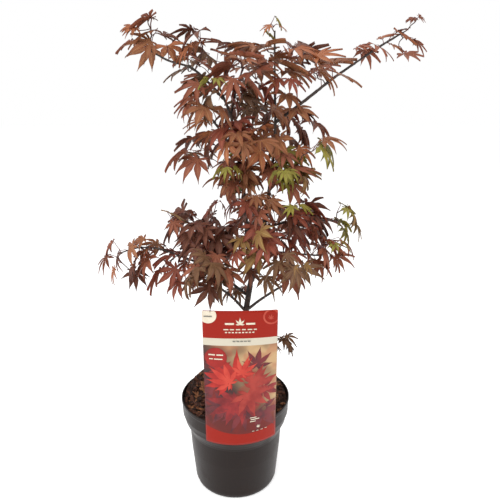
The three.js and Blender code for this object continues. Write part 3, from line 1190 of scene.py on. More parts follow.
@dataclass(frozen=True)
class Habit:
    """How the leaves of a mass stand.

    Length is that of the middle finger, and hang the fall of the leaves on top and underneath, in degrees.
    Reach is the part of the mass that leaves' middles may fill, and overhang how far their tips may pass it.
    Sink is how far below the mass's own middle its leaves are gathered. Pairing is the chance of an
    opposite leaf, and a spray is the number of leaves that share a tint.
    """

    length: tuple[float, float]
    hang: tuple[float, float]
    curl: tuple[float, float]
    spacing: float
    tints: tuple[tuple[Tint, float], ...] = ()
    reach: float = 0.72
    overhang: float = 8 * MM
    sink: float = 0.0
    pairing: float = 0.55
    spray: int = 3

    def pick(self, rng: random.Random) -> Tint:
        """Deals one tint by its share."""
        tints, shares = zip(*self.tints)
        return rng.choices(tints, shares)[0]


@dataclass(frozen=True)
class Shoot:
    """A young shoot with a few leaves round its end; lengths are millimetres, fall and facing degrees."""

    end: tuple[float, float, float]
    leaves: int
    length: float
    fall: float
    facing: float
    tint: Tint


@dataclass
class Growth:
    """Grows twigs and leaves from the limbs into every mass by one seeded rule.

    Hearts are points in the wood, each with the wood that it grows from and the leaves that it carries.
    Blade_middle is where a blade's middle lies along its middle finger, plant_middle the plant's middle
    from left to right, and far_outside the distance past which a place is simply outside. Twig radii in
    millimetres are twig_base and twig_gain times the root of the leaves carried, up to twig_most.
    """

    limbs: list[Strand]
    masses: list[Mass]
    seed: int
    stalk: float = 26 * MM
    full_leaf: float = 42 * MM
    twig_step: float = 7 * MM
    twig_base: float = 0.42
    twig_gain: float = 0.22
    twig_most: float = 1.5
    tries: int = 170
    refits: int = 6
    blade_middle: float = 0.38
    plant_middle: float = 20 * MM
    far_outside: float = 40 * MM
    shoot_curl: tuple[float, float] = (0.3, 0.8)
    shoot_fan: float = 95.0
    rng: random.Random = field(init=False)
    limb_hearts: list[Vector] = field(init=False)
    hearts: list[Vector] = field(default_factory=list)
    parents: list[int] = field(default_factory=list)
    loads: list[int] = field(default_factory=list)
    chains: list[list[int]] = field(default_factory=list)
    leaves: list[Leaf] = field(default_factory=list)
    middles: list[Vector] = field(default_factory=list)

    def __post_init__(self) -> None:
        """Takes the limbs' lines as the wood that twigs start from."""
        self.rng = random.Random(self.seed)
        for limb in self.limbs:
            for point in limb.points[::3]:
                self.hearts.append(point)
                self.parents.append(-1)
                self.loads.append(0)
        self.limb_hearts = list(self.hearts)

    def nearest(self, place: Vector) -> int:
        """The wood nearest to a place, a little in favour of wood below it."""
        best, best_cost = 0, math.inf
        for index, heart in enumerate(self.hearts):
            away = place - heart
            cost = away.length + 0.5 * max(0.0, -away.z)
            if cost < best_cost:
                best, best_cost = index, cost
        return best

    def grow_twig(self, start: int, end: Vector, arrive: Vector) -> int:
        """Grows a twig from the wood to a point.

        Args:
            start: The piece of wood it leaves.
            end: Where it ends.
            arrive: The direction it ends in.

        Returns:
            The new wood at its end.
        """
        begin = self.hearts[start]
        span = (end - begin).length
        if span < 3 * MM:
            return start
        leave = ((end - begin).normalized() + UP * 0.3 + self._jitter(0.12)).normalized()
        handle_a = begin + leave * span * 0.35
        handle_b = end - arrive * span * 0.25
        steps = max(2, round(span / self.twig_step))
        chain = [start]
        for step in range(1, steps + 1):
            t = step / steps
            place = begin * (1 - t) ** 3 + handle_a * 3 * t * (1 - t) ** 2
            place = place + handle_b * 3 * t * t * (1 - t) + end * t ** 3
            if step < steps:
                place += self._jitter(0.8 * MM)
            self.hearts.append(place)
            self.parents.append(chain[-1])
            self.loads.append(0)
            chain.append(len(self.hearts) - 1)
        self.chains.append(chain)
        return chain[-1]

    def _jitter(self, size: float) -> Vector:
        """A small random vector."""
        return Vector([self.rng.gauss(0.0, size) for _ in range(3)])

    def bear(self, wood: int) -> None:
        """Counts one more leaf on a piece of wood and on all the wood it hangs from."""
        while wood >= 0:
            self.loads[wood] += 1
            wood = self.parents[wood]

    def hang_leaf(
        self, wood: int, base: Vector, axis: Vector, curl: tuple[float, float], length: float, tint: Tint
    ) -> None:
        """Hangs a leaf on the wood.

        Args:
            wood: The wood its stalk leaves.
            base: Where the stalk meets the blade.
            axis: The way its middle finger points.
            curl: The least and the most that its fingers droop, in radians.
            length: Length of its middle finger.
            tint: Its colour.
        """
        rng = self.rng
        joint = self.hearts[wood]
        upper = (UP - axis * axis.dot(UP)).normalized()
        across = upper.cross(axis).normalized()
        roll = Matrix.Rotation(rng.gauss(0.0, 0.4), 3, axis)
        across, upper = roll @ across, roll @ upper
        pose = Matrix((axis, across, upper)).transposed().to_4x4()
        pose.translation = base
        lift = (base - joint).length * 0.16
        middle = (joint + base) / 2 + UP * lift
        run_in = base - axis * (base - joint).length * 0.15 + UP * lift * 0.3
        stalk = [joint, joint.lerp(middle, 0.55) + UP * lift * 0.3, middle, run_in, base]
        pattern = rng.choice(next(dealt for over, dealt in PATTERNS_BY_LENGTH if length > over))
        self.middles.append(base + axis * length * self.blade_middle)
        droop, fold, spread = rng.uniform(*curl), rng.uniform(0.5, 1.6), rng.uniform(0.8, 1.08)
        self.leaves.append(Leaf(stalk, pose, length, droop, fold, spread, pattern, tint))
        self.bear(wood)

    def _crowded(self, place: Vector, spacing: float, others: list[Vector]) -> bool:
        """Whether another leaf's middle is too near; leaves lie in layers, so height counts for more."""
        for other in others:
            away = place - other
            if abs(away.x) < spacing and abs(away.y) < spacing:
                if math.hypot(away.x, away.y, away.z * 1.35) < spacing:
                    return True
        return False

    def _outside(self, place: Vector) -> float:
        """How far a place lies outside every mass."""
        reach = self.far_outside
        least = reach
        for mass in self.masses:
            if all(low - reach < at < high + reach for low, at, high in zip(mass.low, place, mass.high)):
                least = min(least, -mass.depth(place))
        return least

    def fill(self, mass: Mass, habit: Habit) -> None:
        """Grows sprays into one mass until no more of its leaves find room."""
        rng = self.rng
        spots: list[Vector] = []
        for _ in range(self.tries):
            way = self._jitter(1.0).normalized()
            place = mass.core.lerp(mass.skin(way), habit.reach * rng.random() ** 0.42) - UP * habit.sink
            if not self._crowded(place, habit.spacing, spots):
                spots.append(place)
        spots.sort(key=self.distance_to_wood)
        tint = habit.pick(rng)
        for number, place in enumerate(spots):
            if number % habit.spray == 0:
                tint = habit.pick(rng)
            if not self._crowded(place, habit.spacing * 0.85, self.middles):
                self._grow_leaf(mass, habit, place, tint)

    def distance_to_wood(self, place: Vector) -> float:
        """Distance from a place to the nearest wood."""
        return (self.hearts[self.nearest(place)] - place).length

    def _outward(self, place: Vector) -> Vector:
        """A level direction away from the nearest limb and from the plant's middle."""
        heart = min(self.limb_hearts, key=lambda point: (point - place).length)
        away = place - heart
        from_middle = Vector((place.x - self.plant_middle, place.y, 0.0))
        level = Vector((away.x, away.y, 0.0)).normalized() * 0.55 + from_middle.normalized() * 0.75
        level += self._jitter(0.42)
        level.z = 0.0
        return level.normalized() if level.length > 0.05 else Vector((0.0, -1.0, 0.0))

    def _grow_leaf(self, mass: Mass, habit: Habit, place: Vector, tint: Tint) -> None:
        """Grows one leaf with its middle at a place, and often its opposite."""
        rng = self.rng
        length = rng.triangular(habit.length[0] * 0.8, habit.length[1], habit.length[1] * 0.93)
        low, high = habit.hang
        under = 0.5 - 0.5 * (place.z - mass.core.z) / mass.half().z
        level, axis = Vector(), Vector()
        for _ in range(self.refits):
            level = self._outward(place)
            fall = math.radians(low + (high - low) * under + rng.gauss(0.0, 13.0))
            axis = (level * math.cos(fall) - UP * math.sin(fall)).normalized()
            if self._outside(place + axis * length * 0.55) < habit.overhang:
                break
            length *= 0.95
        base = place - axis * length * self.blade_middle
        stalk_way = (base - self.hearts[self.nearest(base)]).normalized() * 0.9 + level * 0.35
        stalk_way = (stalk_way + UP * rng.uniform(0.0, 0.35) + self._jitter(0.12)).normalized()
        stalk = self.stalk * rng.uniform(0.75, 1.25) * min(1.0, length / self.full_leaf)
        joint = base - stalk_way * stalk
        wood = self.nearest(joint)
        if (self.hearts[wood] - base).length > stalk * 1.25:
            wood = self.grow_twig(wood, joint, stalk_way)
        self.hang_leaf(wood, base, axis, habit.curl, length, tint)
        if rng.random() < habit.pairing:
            self._grow_opposite(habit, wood, base, axis, length, tint)

    def _grow_opposite(
        self, habit: Habit, wood: int, base: Vector, axis: Vector, length: float, tint: Tint
    ) -> None:
        """Hangs a second leaf across the twig from one just hung, where there is room."""
        joint = self.hearts[wood]
        parent = self.parents[wood]
        run = (joint - self.hearts[parent]).normalized() if parent >= 0 else UP
        across = run.cross(UP)
        if across.length < 0.1:
            across = Vector((axis.y, -axis.x, 0.0))
        across.normalize()
        other_base = base - across * 2.0 * (base - joint).dot(across)
        other_axis = (axis - across * 2.0 * axis.dot(across)).normalized()
        other_middle = other_base + other_axis * length * self.blade_middle
        if self._crowded(other_middle, habit.spacing * 0.8, self.middles):
            return
        if self._outside(other_base + other_axis * length * 0.9) < habit.overhang:
            length *= self.rng.uniform(0.85, 1.0)
            self.hang_leaf(wood, other_base, other_axis, habit.curl, length, tint)

    def grow_shoot(self, shoot: Shoot) -> None:
        """Grows a young shoot and spreads its leaves like a fan about its facing."""
        end = Vector(shoot.end) * MM
        wood = self.grow_twig(self.nearest(end), end, UP)
        for number in range(shoot.leaves):
            turn = math.radians(shoot.facing + (number - (shoot.leaves - 1) / 2) * self.shoot_fan)
            fall = math.radians(shoot.fall + self.rng.gauss(0.0, 8.0))
            level = Vector((math.cos(turn), math.sin(turn), 0.0))
            axis = level * math.cos(fall) - UP * math.sin(fall)
            base = end + (level + UP * 0.4) * shoot.length * MM * 0.3
            self.hang_leaf(wood, base, axis, self.shoot_curl, shoot.length * MM, shoot.tint)

    def twigs(self) -> list[Strand]:
        """The twigs as lines, thicker where they carry more leaves."""
        made = []
        for chain in self.chains:
            load = [max(1, self.loads[index]) for index in chain[1:]]
            radii = [(self.twig_base + self.twig_gain * math.sqrt(count)) * MM for count in load]
            radii = [min(self.twig_most * MM, radius) for radius in radii]
            points = [self.hearts[index] for index in chain]
            made.append(Strand(points, [radii[0] * 1.15, *radii]))
        return made


TINTS_BY_SLOT = {
    "bronze_leaves": (
        (Tint.BRONZE, 5),
        (Tint.RED, 1.5),
        (Tint.RUSSET, 3),
        (Tint.DARK, 1.5),
        (Tint.COPPER, 1),
        (Tint.OLIVE, 0.5),
        (Tint.LIME, 0.15),
    ),
    "dark_leaves": ((Tint.DARK, 5), (Tint.UMBER, 3), (Tint.BRONZE, 2), (Tint.RED, 1)),
    "copper_leaves": (
        (Tint.COPPER, 3),
        (Tint.RUSSET, 3),
        (Tint.OLIVE, 1),
        (Tint.BRONZE, 3),
        (Tint.LIME, 0.2),
    ),
    "lime_leaves": ((Tint.LIME, 2), (Tint.OLIVE, 2), (Tint.RUSSET, 2), (Tint.BRONZE, 4)),
}
# Darker tints for the low bronze masses: painted shade standing in for the dimmer light on the lower crown.
LOW_PAINTED_SHADE_TINTS = ((Tint.BRONZE, 3), (Tint.RED, 3), (Tint.DARK, 5), (Tint.RUSSET, 1), (Tint.OLIVE, 0.15))

TOP_HABIT = Habit((38 * MM, 52 * MM), (-12.0, 24.0), (0.15, 0.6), 28 * MM)
REAR_HABIT = Habit((40 * MM, 52 * MM), (10.0, 56.0), (0.3, 0.95), 31 * MM)
SIDE_HABIT = Habit((38 * MM, 50 * MM), (10.0, 56.0), (0.3, 0.95), 29 * MM, reach=0.6)
INNER_HABIT = Habit((38 * MM, 52 * MM), (10.0, 56.0), (0.3, 0.95), 25 * MM, reach=0.82)
SPRAY_HABIT = Habit((30 * MM, 42 * MM), (20.0, 66.0), (0.4, 1.1), 25 * MM, overhang=6 * MM)
ARM_HABIT = Habit((38 * MM, 50 * MM), (0.0, 46.0), (0.3, 0.9), 28 * MM)
WAIST_HABIT = Habit((36 * MM, 48 * MM), (5.0, 55.0), (0.35, 0.95), 20 * MM, reach=0.85)
HABITS_BY_MASS = {
    "top_shoot": Habit((15 * MM, 22 * MM), (20.0, 60.0), (0.4, 1.0), 24 * MM, overhang=0.0),
    "low_sprig": Habit((26 * MM, 34 * MM), (10.0, 40.0), (0.3, 0.8), 17 * MM, sink=13 * MM),
    "arm_right_tip": Habit((32 * MM, 46 * MM), (-10.0, 20.0), (0.2, 0.6), 24 * MM, sink=12 * MM),
    "arm_right_inner": Habit((40 * MM, 52 * MM), (-12.0, 24.0), (0.2, 0.7), 30 * MM, sink=-8 * MM),
    **dict.fromkeys(("spray_left_tip", "spray_left", "low_right_tip", "low_left_leaf"), SPRAY_HABIT),
    **dict.fromkeys(("arm_left_tip", "arm_left_inner", "arm_right_mid"), ARM_HABIT),
    **dict.fromkeys(("waist_left", "waist_right"), WAIST_HABIT),
}

SHOOTS = (
    Shoot((2, -10, 366), 3, 27.0, 50.0, 200.0, Tint.UMBER),
    Shoot((14, 12, 360), 2, 24.0, 45.0, 120.0, Tint.DARK),
    Shoot((-120, -6, 783), 3, 13.0, 8.0, 250.0, Tint.UMBER),
    Shoot((-134, -8, 768), 2, 25.0, 18.0, 190.0, Tint.COPPER),
    Shoot((60, 0, 773), 2, 22.0, 30.0, 270.0, Tint.COPPER),
    Shoot((268, 10, 784), 3, 16.0, 15.0, 200.0, Tint.BRONZE),
    Shoot((258, 10, 768), 2, 18.0, 10.0, 180.0, Tint.DARK),
    Shoot((34, -24, 528), 3, 30.0, 40.0, 270.0, Tint.RUSSET),
    Shoot((-35, -30, 658), 3, 42.0, 35.0, 250.0, Tint.RUSSET),
    Shoot((-59, -20, 663), 2, 30.0, 40.0, 280.0, Tint.BRONZE),
    Shoot((75, -30, 697), 2, 34.0, 35.0, 262.0, Tint.RED),
    Shoot((-26, -30, 519), 2, 28.0, 50.0, 290.0, Tint.DARK),
    Shoot((177, 5, 502), 2, 26.0, 25.0, 330.0, Tint.LIME),
    Shoot((158, -45, 461), 2, 24.0, 35.0, 300.0, Tint.LIME),
    Shoot((98, -110, 449), 2, 22.0, 40.0, 280.0, Tint.OLIVE),
    Shoot((92, -50, 519), 2, 26.0, 30.0, 290.0, Tint.LIME),
    Shoot((74, -50, 571), 3, 26.0, 40.0, 280.0, Tint.LIME),
    Shoot((-6, -50, 577), 3, 26.0, 45.0, 260.0, Tint.LIME),
    Shoot((-25, -40, 700), 2, 24.0, 35.0, 250.0, Tint.LIME),
    Shoot((6, -30, 697), 3, 44.0, 35.0, 255.0, Tint.BRONZE),
    Shoot((52, -14, 520), 3, 38.0, 50.0, 300.0, Tint.RUSSET),
    Shoot((16, -26, 518), 2, 38.0, 55.0, 240.0, Tint.RED),
    Shoot((40, -30, 504), 3, 38.0, 50.0, 275.0, Tint.BRONZE),
)


@dataclass
class Crown:
    """All the foliage: masses read from the frame, filled with twigs, stalks and leaves.

    A mass has the habit of the top above top_from, that of the rear behind rear_from, and above
    middle_from that of the sides when it is further than side_from from the middle.
    """

    stems: Stems
    slots: dict[str, str]
    seed: int = 5
    top_from: float = 0.69
    middle_from: float = 0.5
    rear_from: float = 45 * MM
    middle: float = 30 * MM
    side_from: float = 45 * MM

    def habit_of(self, mass: Mass) -> Habit:
        """The habit of a mass: its own where it has one, or else that of its place in the plant."""
        tints = TINTS_BY_SLOT[mass.slot]
        place = mass.core
        habit = HABITS_BY_MASS.get(mass.name.removeprefix("foliage_"))
        if habit is None:
            # Low bronze masses are dealt darker tints as painted shade.
            if place.z < self.middle_from and mass.slot == "bronze_leaves":
                tints = LOW_PAINTED_SHADE_TINTS
            if place.z > self.top_from:
                habit = TOP_HABIT
            elif place.y > self.rear_from:
                habit = REAR_HABIT
            elif abs(place.x - self.middle) > self.side_from and place.z > self.middle_from:
                habit = SIDE_HABIT
            else:
                habit = INNER_HABIT
        return replace(habit, tints=tints)

    def build(self) -> None:
        """Grows the crown and makes its pieces."""
        names = sorted(name for name in self.slots if name.startswith("foliage_"))
        masses = [Mass.read(name, self.slots[name]) for name in names]
        growth = Growth(list(self.stems.lines.values()), masses, seed=self.seed)
        owner: dict[Tint, list[str]] = {tint: [] for tint in Tint}
        for mass in sorted(masses, key=lambda mass: growth.distance_to_wood(mass.core)):
            before = len(growth.leaves)
            growth.fill(mass, self.habit_of(mass))
            grown = [leaf.tint for leaf in growth.leaves[before:]]
            owner[max(Tint, key=grown.count)].append(mass.name)
        for shoot in SHOOTS:
            growth.grow_shoot(shoot)
        log.info("%d leaves on %d twigs", len(growth.leaves), len(growth.chains))
        self._build_wood(growth)
        self._build_leaves(growth.leaves, owner)

    def _build_wood(self, growth: Growth) -> None:
        """Sweeps the twigs and the leaf stalks."""
        bark = BarkFinish("twig_bark", linear(84, 56, 48), linear(50, 32, 30), linear(130, 100, 84), 0.58)
        twigs = [twig.smoothed(3 * MM) for twig in growth.twigs()]
        wear(sweep("twigs", twigs, 1), bark.material(), "bark")
        skin = BarkFinish("stalk_skin", linear(112, 52, 46), linear(84, 38, 36), linear(140, 78, 62), 0.5)
        radii = [0.75 * MM, 0.55 * MM, 0.5 * MM, 0.5 * MM, 0.6 * MM]
        stalks = [Strand(leaf.stalk, radii).smoothed(5 * MM) for leaf in growth.leaves]
        wear(sweep("leaf_stalks", stalks, 1), skin.material(), "bark")

    def _build_leaves(self, leaves: list[Leaf], owner: dict[Tint, list[str]]) -> None:
        """Joins the leaves of each tint into one piece."""
        blades = {pattern: pattern.value.model() for pattern in Pattern}
        rng = random.Random(self.seed + 1)
        for tint in Tint:
            share = [blades[leaf.pattern].posed(leaf, rng) for leaf in leaves if leaf.tint is tint]
            if not share:
                continue
            made = piece_from(f"leaves_{tint.name.lower()}", joined(share))
            wear(made, LeafFinish(tint).material(), tint.slot, *owner[tint])


# ------------------------------------------------------------------ picture card
# Corners as parts of the card's width and height, with their faces.
Flat = tuple[np.ndarray, list[tuple[int, ...]]]


@dataclass(frozen=True)
class PrintedLeaves:
    """Leaves of one ink: for each its outline, place, size against the card's width, and turn in degrees."""

    name: str
    ink: Colour
    shade: Colour
    leaves: tuple[tuple[Pattern, tuple[float, float], float, float], ...]


PICTURE = (
    PrintedLeaves(
        "print_far",
        linear(112, 40, 44),
        linear(70, 30, 36),
        (
            (Pattern.FULL, (0.30, 0.30), 0.40, 200.0),
            (Pattern.BROAD, (0.78, 0.26), 0.40, -60.0),
            (Pattern.FULL, (0.72, 0.60), 0.30, 80.0),
            (Pattern.BROAD, (0.12, 0.42), 0.30, 160.0),
            (Pattern.SLIM, (0.52, 0.27), 0.40, 245.0),
        ),
    ),
    PrintedLeaves(
        "print_deep",
        linear(142, 38, 38),
        linear(104, 24, 28),
        (
            (Pattern.SLIM, (0.55, 0.34), 0.40, 265.0),
            (Pattern.FULL, (0.42, 0.34), 0.44, 215.0),
            (Pattern.SLIM, (0.80, 0.42), 0.34, -30.0),
            (Pattern.FULL, (0.24, 0.58), 0.26, 120.0),
        ),
    ),
    PrintedLeaves(
        "print_rose",
        linear(160, 56, 46),
        linear(130, 34, 30),
        (
            (Pattern.SLIM, (0.64, 0.44), 0.44, 20.0),
            (Pattern.FULL, (0.60, 0.40), 0.40, -75.0),
            (Pattern.SLIM, (0.66, 0.47), 0.34, 62.0),
        ),
    ),
    PrintedLeaves(
        "print_red",
        linear(170, 38, 30),
        linear(142, 28, 24),
        ((Pattern.FULL, (0.34, 0.50), 0.40, 165.0), (Pattern.SLIM, (0.44, 0.52), 0.44, 88.0)),
    ),
    PrintedLeaves(
        "print_coral",
        linear(190, 66, 50),
        linear(172, 44, 34),
        ((Pattern.SLIM, (0.36, 0.48), 0.38, 140.0), (Pattern.SLIM, (0.52, 0.55), 0.30, 70.0)),
    ),
)


@dataclass
class PictureCard:
    """The printed card at the front of the rim, its tongue, and the leaves printed on it.

    Shapes are printed ink_gap in front of the card, and each one ink_step further than the one before.
    None comes nearer to the card's sides or top than the margin.
    """

    thickness: float = 0.9 * MM
    corner_radius: float = 1.6 * MM
    columns: int = 40
    rows: int = 60
    margin: float = 0.4 * MM
    ink_gap: float = 0.05 * MM
    ink_step: float = 0.02 * MM
    layer: int = 0
    low: Vector = field(init=False)
    high: Vector = field(init=False)
    width: float = field(init=False)
    height: float = field(init=False)
    rim: float = field(init=False)
    blades: dict[Pattern, LeafBlade] = field(init=False)

    def __post_init__(self) -> None:
        """Takes the card's box and the rim's height from the frame, and models the leaves to print."""
        self.low, self.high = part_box("label_card")
        self.width, self.height = self.high.x - self.low.x, self.high.z - self.low.z
        self.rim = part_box("pot")[1].z
        self.blades = {pattern: pattern.value.model() for pattern in Pattern}

    def front(self, x: float, z: float, proud: float = 0.0) -> Vector:
        """A point of the card's face, or a little in front of it."""
        bend = -self.low.y
        flat = self.eased((z - self.rim) / (self.high.z - self.rim))
        depth = (bend - math.sqrt(bend * bend - x * x)) * (1.0 - 0.8 * flat)
        return Vector((x, -bend + depth - proud, z))

    @staticmethod
    def eased(part: float) -> float:
        """A part of a way, held between 0 and 1 and eased at both ends."""
        part = min(1.0, max(0.0, part))
        return part * part * (3.0 - 2.0 * part)

    def build(self) -> None:
        """Makes the card, its print and its tongue."""
        self._sheet()
        self._print_picture()
        self._print_trim()
        self._tongue()

    def _sheet(self) -> None:
        """A fine grid bent to the card's shape and given its thickness."""
        deselect()
        bpy.ops.mesh.primitive_grid_add(x_subdivisions=self.columns, y_subdivisions=self.rows, size=1.0)
        card = bpy.context.object
        card.name = "picture_card"
        width, height, corner_radius = self.width, self.height, self.corner_radius
        mesh = card.data
        places = [(corner.co.x + 0.5, corner.co.y + 0.5) for corner in mesh.vertices]
        layer = mesh.uv_layers[0] if mesh.uv_layers else mesh.uv_layers.new()
        layer.name = "CardUV"
        for face in mesh.polygons:
            for loop in face.loop_indices:
                layer.data[loop].uv = places[mesh.loops[loop].vertex_index]
        for corner, (u, v) in zip(mesh.vertices, places):
            x, z = u * width, v * height
            side = max(corner_radius - x, x - (width - corner_radius), 0.0)
            edge = max(corner_radius - z, z - (height - corner_radius), 0.0)
            if side > 0 and edge > 0:
                shrink = corner_radius / max(corner_radius, math.hypot(side, edge))
                x += (side - side * shrink) * (1 if x < width / 2 else -1)
                z += (edge - edge * shrink) * (1 if z < height / 2 else -1)
            corner.co = self.front(self.low.x + x, self.low.z + z)
        bpy.ops.object.mode_set(mode="EDIT")
        bpy.ops.mesh.select_all(action="SELECT")
        bpy.ops.mesh.normals_make_consistent(inside=False)
        bpy.ops.object.mode_set(mode="OBJECT")
        if mesh.polygons[0].normal.y > 0:
            mesh.flip_normals()
        apply_modifier(card, "SOLIDIFY", thickness=self.thickness, offset=-1.0)
        mesh.shade_smooth()
        wear(card, CardFinish().material(), "printed_card", "label_card")

    def _print(self, name: str, shapes: Iterable[Flat], ink: InkFinish) -> None:
        """Lays flat shapes on the card's face, each a hair in front of the one before.

        Args:
            name: The piece's name.
            shapes: What is printed.
            ink: What they are printed in.
        """
        laid = []
        low, high = self.low, self.high
        for flat, faces in shapes:
            self.layer += 1
            across = np.clip(low.x + flat[:, 0] * self.width, low.x + self.margin, high.x - self.margin)
            up = np.clip(low.z + flat[:, 1] * self.height, low.z, high.z - self.margin)
            proud = self.ink_gap + self.ink_step * self.layer
            laid.append(Surface(np.array([self.front(x, z, proud) for x, z in zip(across, up)]), faces))
        wear(piece_from(name, joined(laid)), ink.material(), "printed_card")

    def _leaf_shape(self, pattern: Pattern, at: tuple[float, float], size: float, turn: float) -> Flat:
        """A leaf's outline at a place on the card, its size against the card's width."""
        blade = self.blades[pattern]
        angle = math.radians(turn)
        spin = np.array([[math.cos(angle), -math.sin(angle)], [math.sin(angle), math.cos(angle)]])
        flat = blade.points[:, :2] @ spin.T * size
        up = flat[:, 1] * self.width / self.height
        return np.stack([flat[:, 0] + at[0], up + at[1]], axis=1), blade.faces

    @staticmethod
    def _plate(left: float, right: float, foot: float, top: float, rows: int) -> Flat:
        """An upright oblong in strips, so that it follows the card's bend."""
        places = [left + (right - left) * row / rows for row in range(rows + 1)]
        flat = np.array([(x, z) for x in places for z in (foot, top)])
        return flat, [(2 * row, 2 * row + 2, 2 * row + 3, 2 * row + 1) for row in range(rows)]

    def _ring(self, at: tuple[float, float], inner: float, outer: float, sides: int = 36) -> Flat:
        """A flat ring, or a disc where the inner radius is 0, sized against the card's width."""
        flat, faces = [], []
        for side in range(sides):
            turn = 2.0 * math.pi * side / sides
            for radius in (inner, outer):
                up = math.sin(turn) * radius * self.width / self.height
                flat.append((at[0] + math.cos(turn) * radius, at[1] + up))
            after = (side + 1) % sides
            faces.append((2 * side, 2 * side + 1, 2 * after + 1, 2 * after))
        return np.array(flat), faces

    def _print_picture(self) -> None:
        """Prints the picture's leaves from the far ones to the near ones."""
        for group in PICTURE:
            shapes = [self._leaf_shape(*leaf) for leaf in group.leaves]
            self._print(f"{group.name}_leaves", shapes, InkFinish(group.name, group.ink, group.shade))

    def _print_trim(self) -> None:
        """Prints the marks of header, badge and foot, with plain bars in the place of words."""
        cream = InkFinish("print_cream", linear(214, 204, 184), linear(202, 190, 168))
        pale_red = InkFinish("print_pale_red", linear(178, 72, 54), linear(168, 58, 44))
        badge = InkFinish("print_badge", linear(148, 30, 24), linear(134, 24, 20))
        grey = InkFinish("print_grey", linear(116, 112, 104), linear(96, 94, 90))
        ring = self._ring((0.915, 0.955), 0.088, 0.112)
        ringed_leaf = self._leaf_shape(Pattern.SLIM, (0.905, 0.94), 0.075, 80.0)
        self._print("print_header_ring", [ring, ringed_leaf], pale_red)
        self._print("print_badge_disc", [self._ring((0.17, 0.668), 0.0, 0.15)], badge)
        word = [(0.28, 0.345), (0.365, 0.42), (0.445, 0.50), (0.525, 0.575), (0.60, 0.66), (0.68, 0.72)]
        small = [(0.30 + 0.045 * step, 0.328 + 0.045 * step) for step in range(9)]
        shapes = [
            self._ring((0.075, 0.968), 0.0, 0.115),
            self._leaf_shape(Pattern.BROAD, (0.50, 0.905), 0.10, 90.0),
            self._plate(0.30, 0.42, 0.905, 0.918, 4),
            self._plate(0.58, 0.70, 0.905, 0.918, 4),
            *[self._plate(left, right, 0.868, 0.876, 3) for left, right in word],
            *[self._plate(left, right, 0.848, 0.856, 2) for left, right in small],
            self._plate(0.07, 0.16, 0.685, 0.694, 4),
            self._plate(0.18, 0.27, 0.685, 0.694, 4),
            self._plate(0.08, 0.13, 0.655, 0.663, 3),
            self._plate(0.145, 0.26, 0.655, 0.663, 4),
            self._plate(0.63, 0.72, 0.205, 0.211, 4),
            self._plate(0.64, 0.76, 0.190, 0.197, 4),
            self._plate(0.63, 0.71, 0.175, 0.181, 4),
            self._leaf_shape(Pattern.SLIM, (0.74, 0.125), 0.05, 60.0),
            *[self._plate(0.66 + 0.06 * step, 0.69 + 0.06 * step, 0.098, 0.102, 2) for step in range(4)],
        ]
        self._print("print_pale_marks", shapes, cream)
        marks = [self._plate(0.40 + 0.05 * step, 0.438 + 0.05 * step, 0.786, 0.793, 2) for step in range(5)]
        marks.append(self._plate(0.02, 0.13, 0.958, 0.966, 4))
        self._print("print_grey_marks", marks, grey)

    def _tongue(self) -> None:
        """The strip behind the card that drops inside the rim."""
        low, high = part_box("label_tongue")
        deselect()
        bpy.ops.mesh.primitive_grid_add(x_subdivisions=4, y_subdivisions=40, size=1.0)
        tongue = bpy.context.object
        tongue.name = "card_tongue"
        inside = high.y - self.thickness
        for corner in tongue.data.vertices:
            x = low.x + (corner.co.x + 0.5) * (high.x - low.x)
            z = low.z + (corner.co.y + 0.5) * (high.z - low.z)
            bend = self.eased((z - self.rim - 3 * MM) / (35 * MM))
            corner.co = (x, inside + (low.y - inside) * bend, z)
        if tongue.data.polygons[0].normal.y > 0:
            tongue.data.flip_normals()
        apply_modifier(tongue, "SOLIDIFY", thickness=self.thickness, offset=-1.0)
        tongue.data.shade_smooth()
        white = InkFinish("card_back", linear(232, 228, 220), linear(214, 208, 198), 0.5)
        wear(tongue, white.material(), "card_back", "label_tongue")


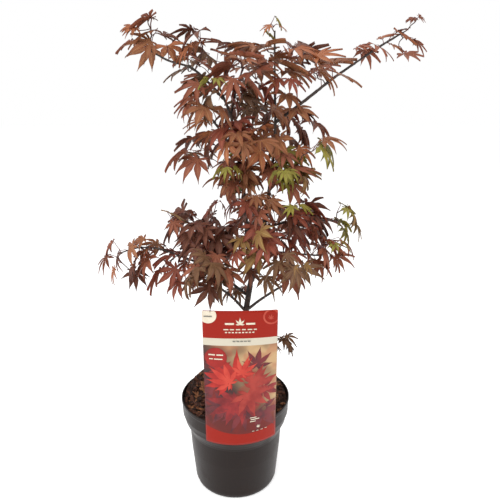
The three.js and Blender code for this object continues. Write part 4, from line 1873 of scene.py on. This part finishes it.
# ------------------------------------------------------------------ studio
@dataclass
class Studio:
    """A pale floor, soft light and the camera."""

    eye: tuple[float, float, float] = (0.026, -0.85, 0.711)
    pitch: float = 18.0
    lens: float = 39.46
    sensor: float = 36.0
    ambient: float = 0.7
    floor_colour: Colour = (0.95, 0.95, 0.95)

    def build(self) -> None:
        """Sets the stage."""
        self._camera()
        self._floor()
        self._light("left", (-1.35, -0.35, 0.75), 1.1, 7.0)
        self._light("right", (1.35, -0.30, 0.75), 1.0, 6.0)
        self._light("key", (-0.5, -1.3, 1.7), 1.2, 18.0)
        self._light("top", (0.2, 0.3, 2.1), 1.4, 12.0)
        self._surround()
        bpy.context.scene.view_settings.view_transform = "Standard"

    def _surround(self) -> None:
        """White all round to the eye, and a dimmer white as a light, so that the lamps give shape."""
        world = bpy.data.worlds.new("studio")
        bpy.context.scene.world = world
        world.use_nodes = True
        nodes, links = world.node_tree.nodes, world.node_tree.links
        backdrop = nodes["Background"]
        backdrop.inputs["Color"].default_value = (1.0, 1.0, 1.0, 1.0)
        seen = nodes.new("ShaderNodeLightPath")
        strength = nodes.new("ShaderNodeMapRange")
        strength.inputs["To Min"].default_value = self.ambient
        strength.inputs["To Max"].default_value = 1.0
        links.new(seen.outputs["Is Camera Ray"], strength.inputs["Value"])
        links.new(strength.outputs["Result"], backdrop.inputs["Strength"])

    def _camera(self) -> None:
        """Stands the camera in front of the plant, looking slightly down."""
        data = bpy.data.cameras.new("camera")
        data.lens = self.lens
        data.sensor_width = self.sensor
        data.clip_start = 0.05
        camera = bpy.data.objects.new("camera", data)
        camera.location = self.eye
        camera.rotation_euler = (math.radians(90.0 - self.pitch), 0.0, 0.0)
        bpy.context.scene.collection.objects.link(camera)
        bpy.context.scene.camera = camera

    def _floor(self) -> None:
        """A wide pale floor."""
        deselect()
        bpy.ops.mesh.primitive_plane_add(size=14.0, location=(0, 0, 0))
        floor = bpy.context.object
        floor.name = "floor"
        finish = Recipe("pale_floor").finish(
            base_color=self.floor_colour,
            roughness=0.9,
            emission_color=(1.0, 1.0, 1.0),
            emission_strength=1.0 - self.floor_colour[0] * self.ambient,
        )
        floor.data.materials.append(finish)

    def _light(self, name: str, place: tuple[float, float, float], size: float, power: float) -> None:
        """Hangs one square soft light, aimed at the plant's middle."""
        data = bpy.data.lights.new(name, "AREA")
        data.size = size
        data.energy = power
        lamp = bpy.data.objects.new(name, data)
        lamp.location = place
        aim = Vector((0.0, 0.0, 0.4)) - Vector(place)
        lamp.rotation_euler = aim.to_track_quat("-Z", "Y").to_euler()
        bpy.context.scene.collection.objects.link(lamp)


def main() -> None:
    """Builds the looks around the frame, piece by piece."""
    logging.basicConfig(level=logging.INFO, format="%(name)s: %(message)s")
    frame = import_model()
    Studio().build()
    slots = {part["node"]: part["material_slot"] for part in frame["record"]["subparts"]}
    NurseryPot().build()
    Compost().build()
    PictureCard().build()
    stems = Stems()
    stems.read(slots)
    stems.build()
    Crown(stems, slots).build()


if __name__ == "__main__":
    main()
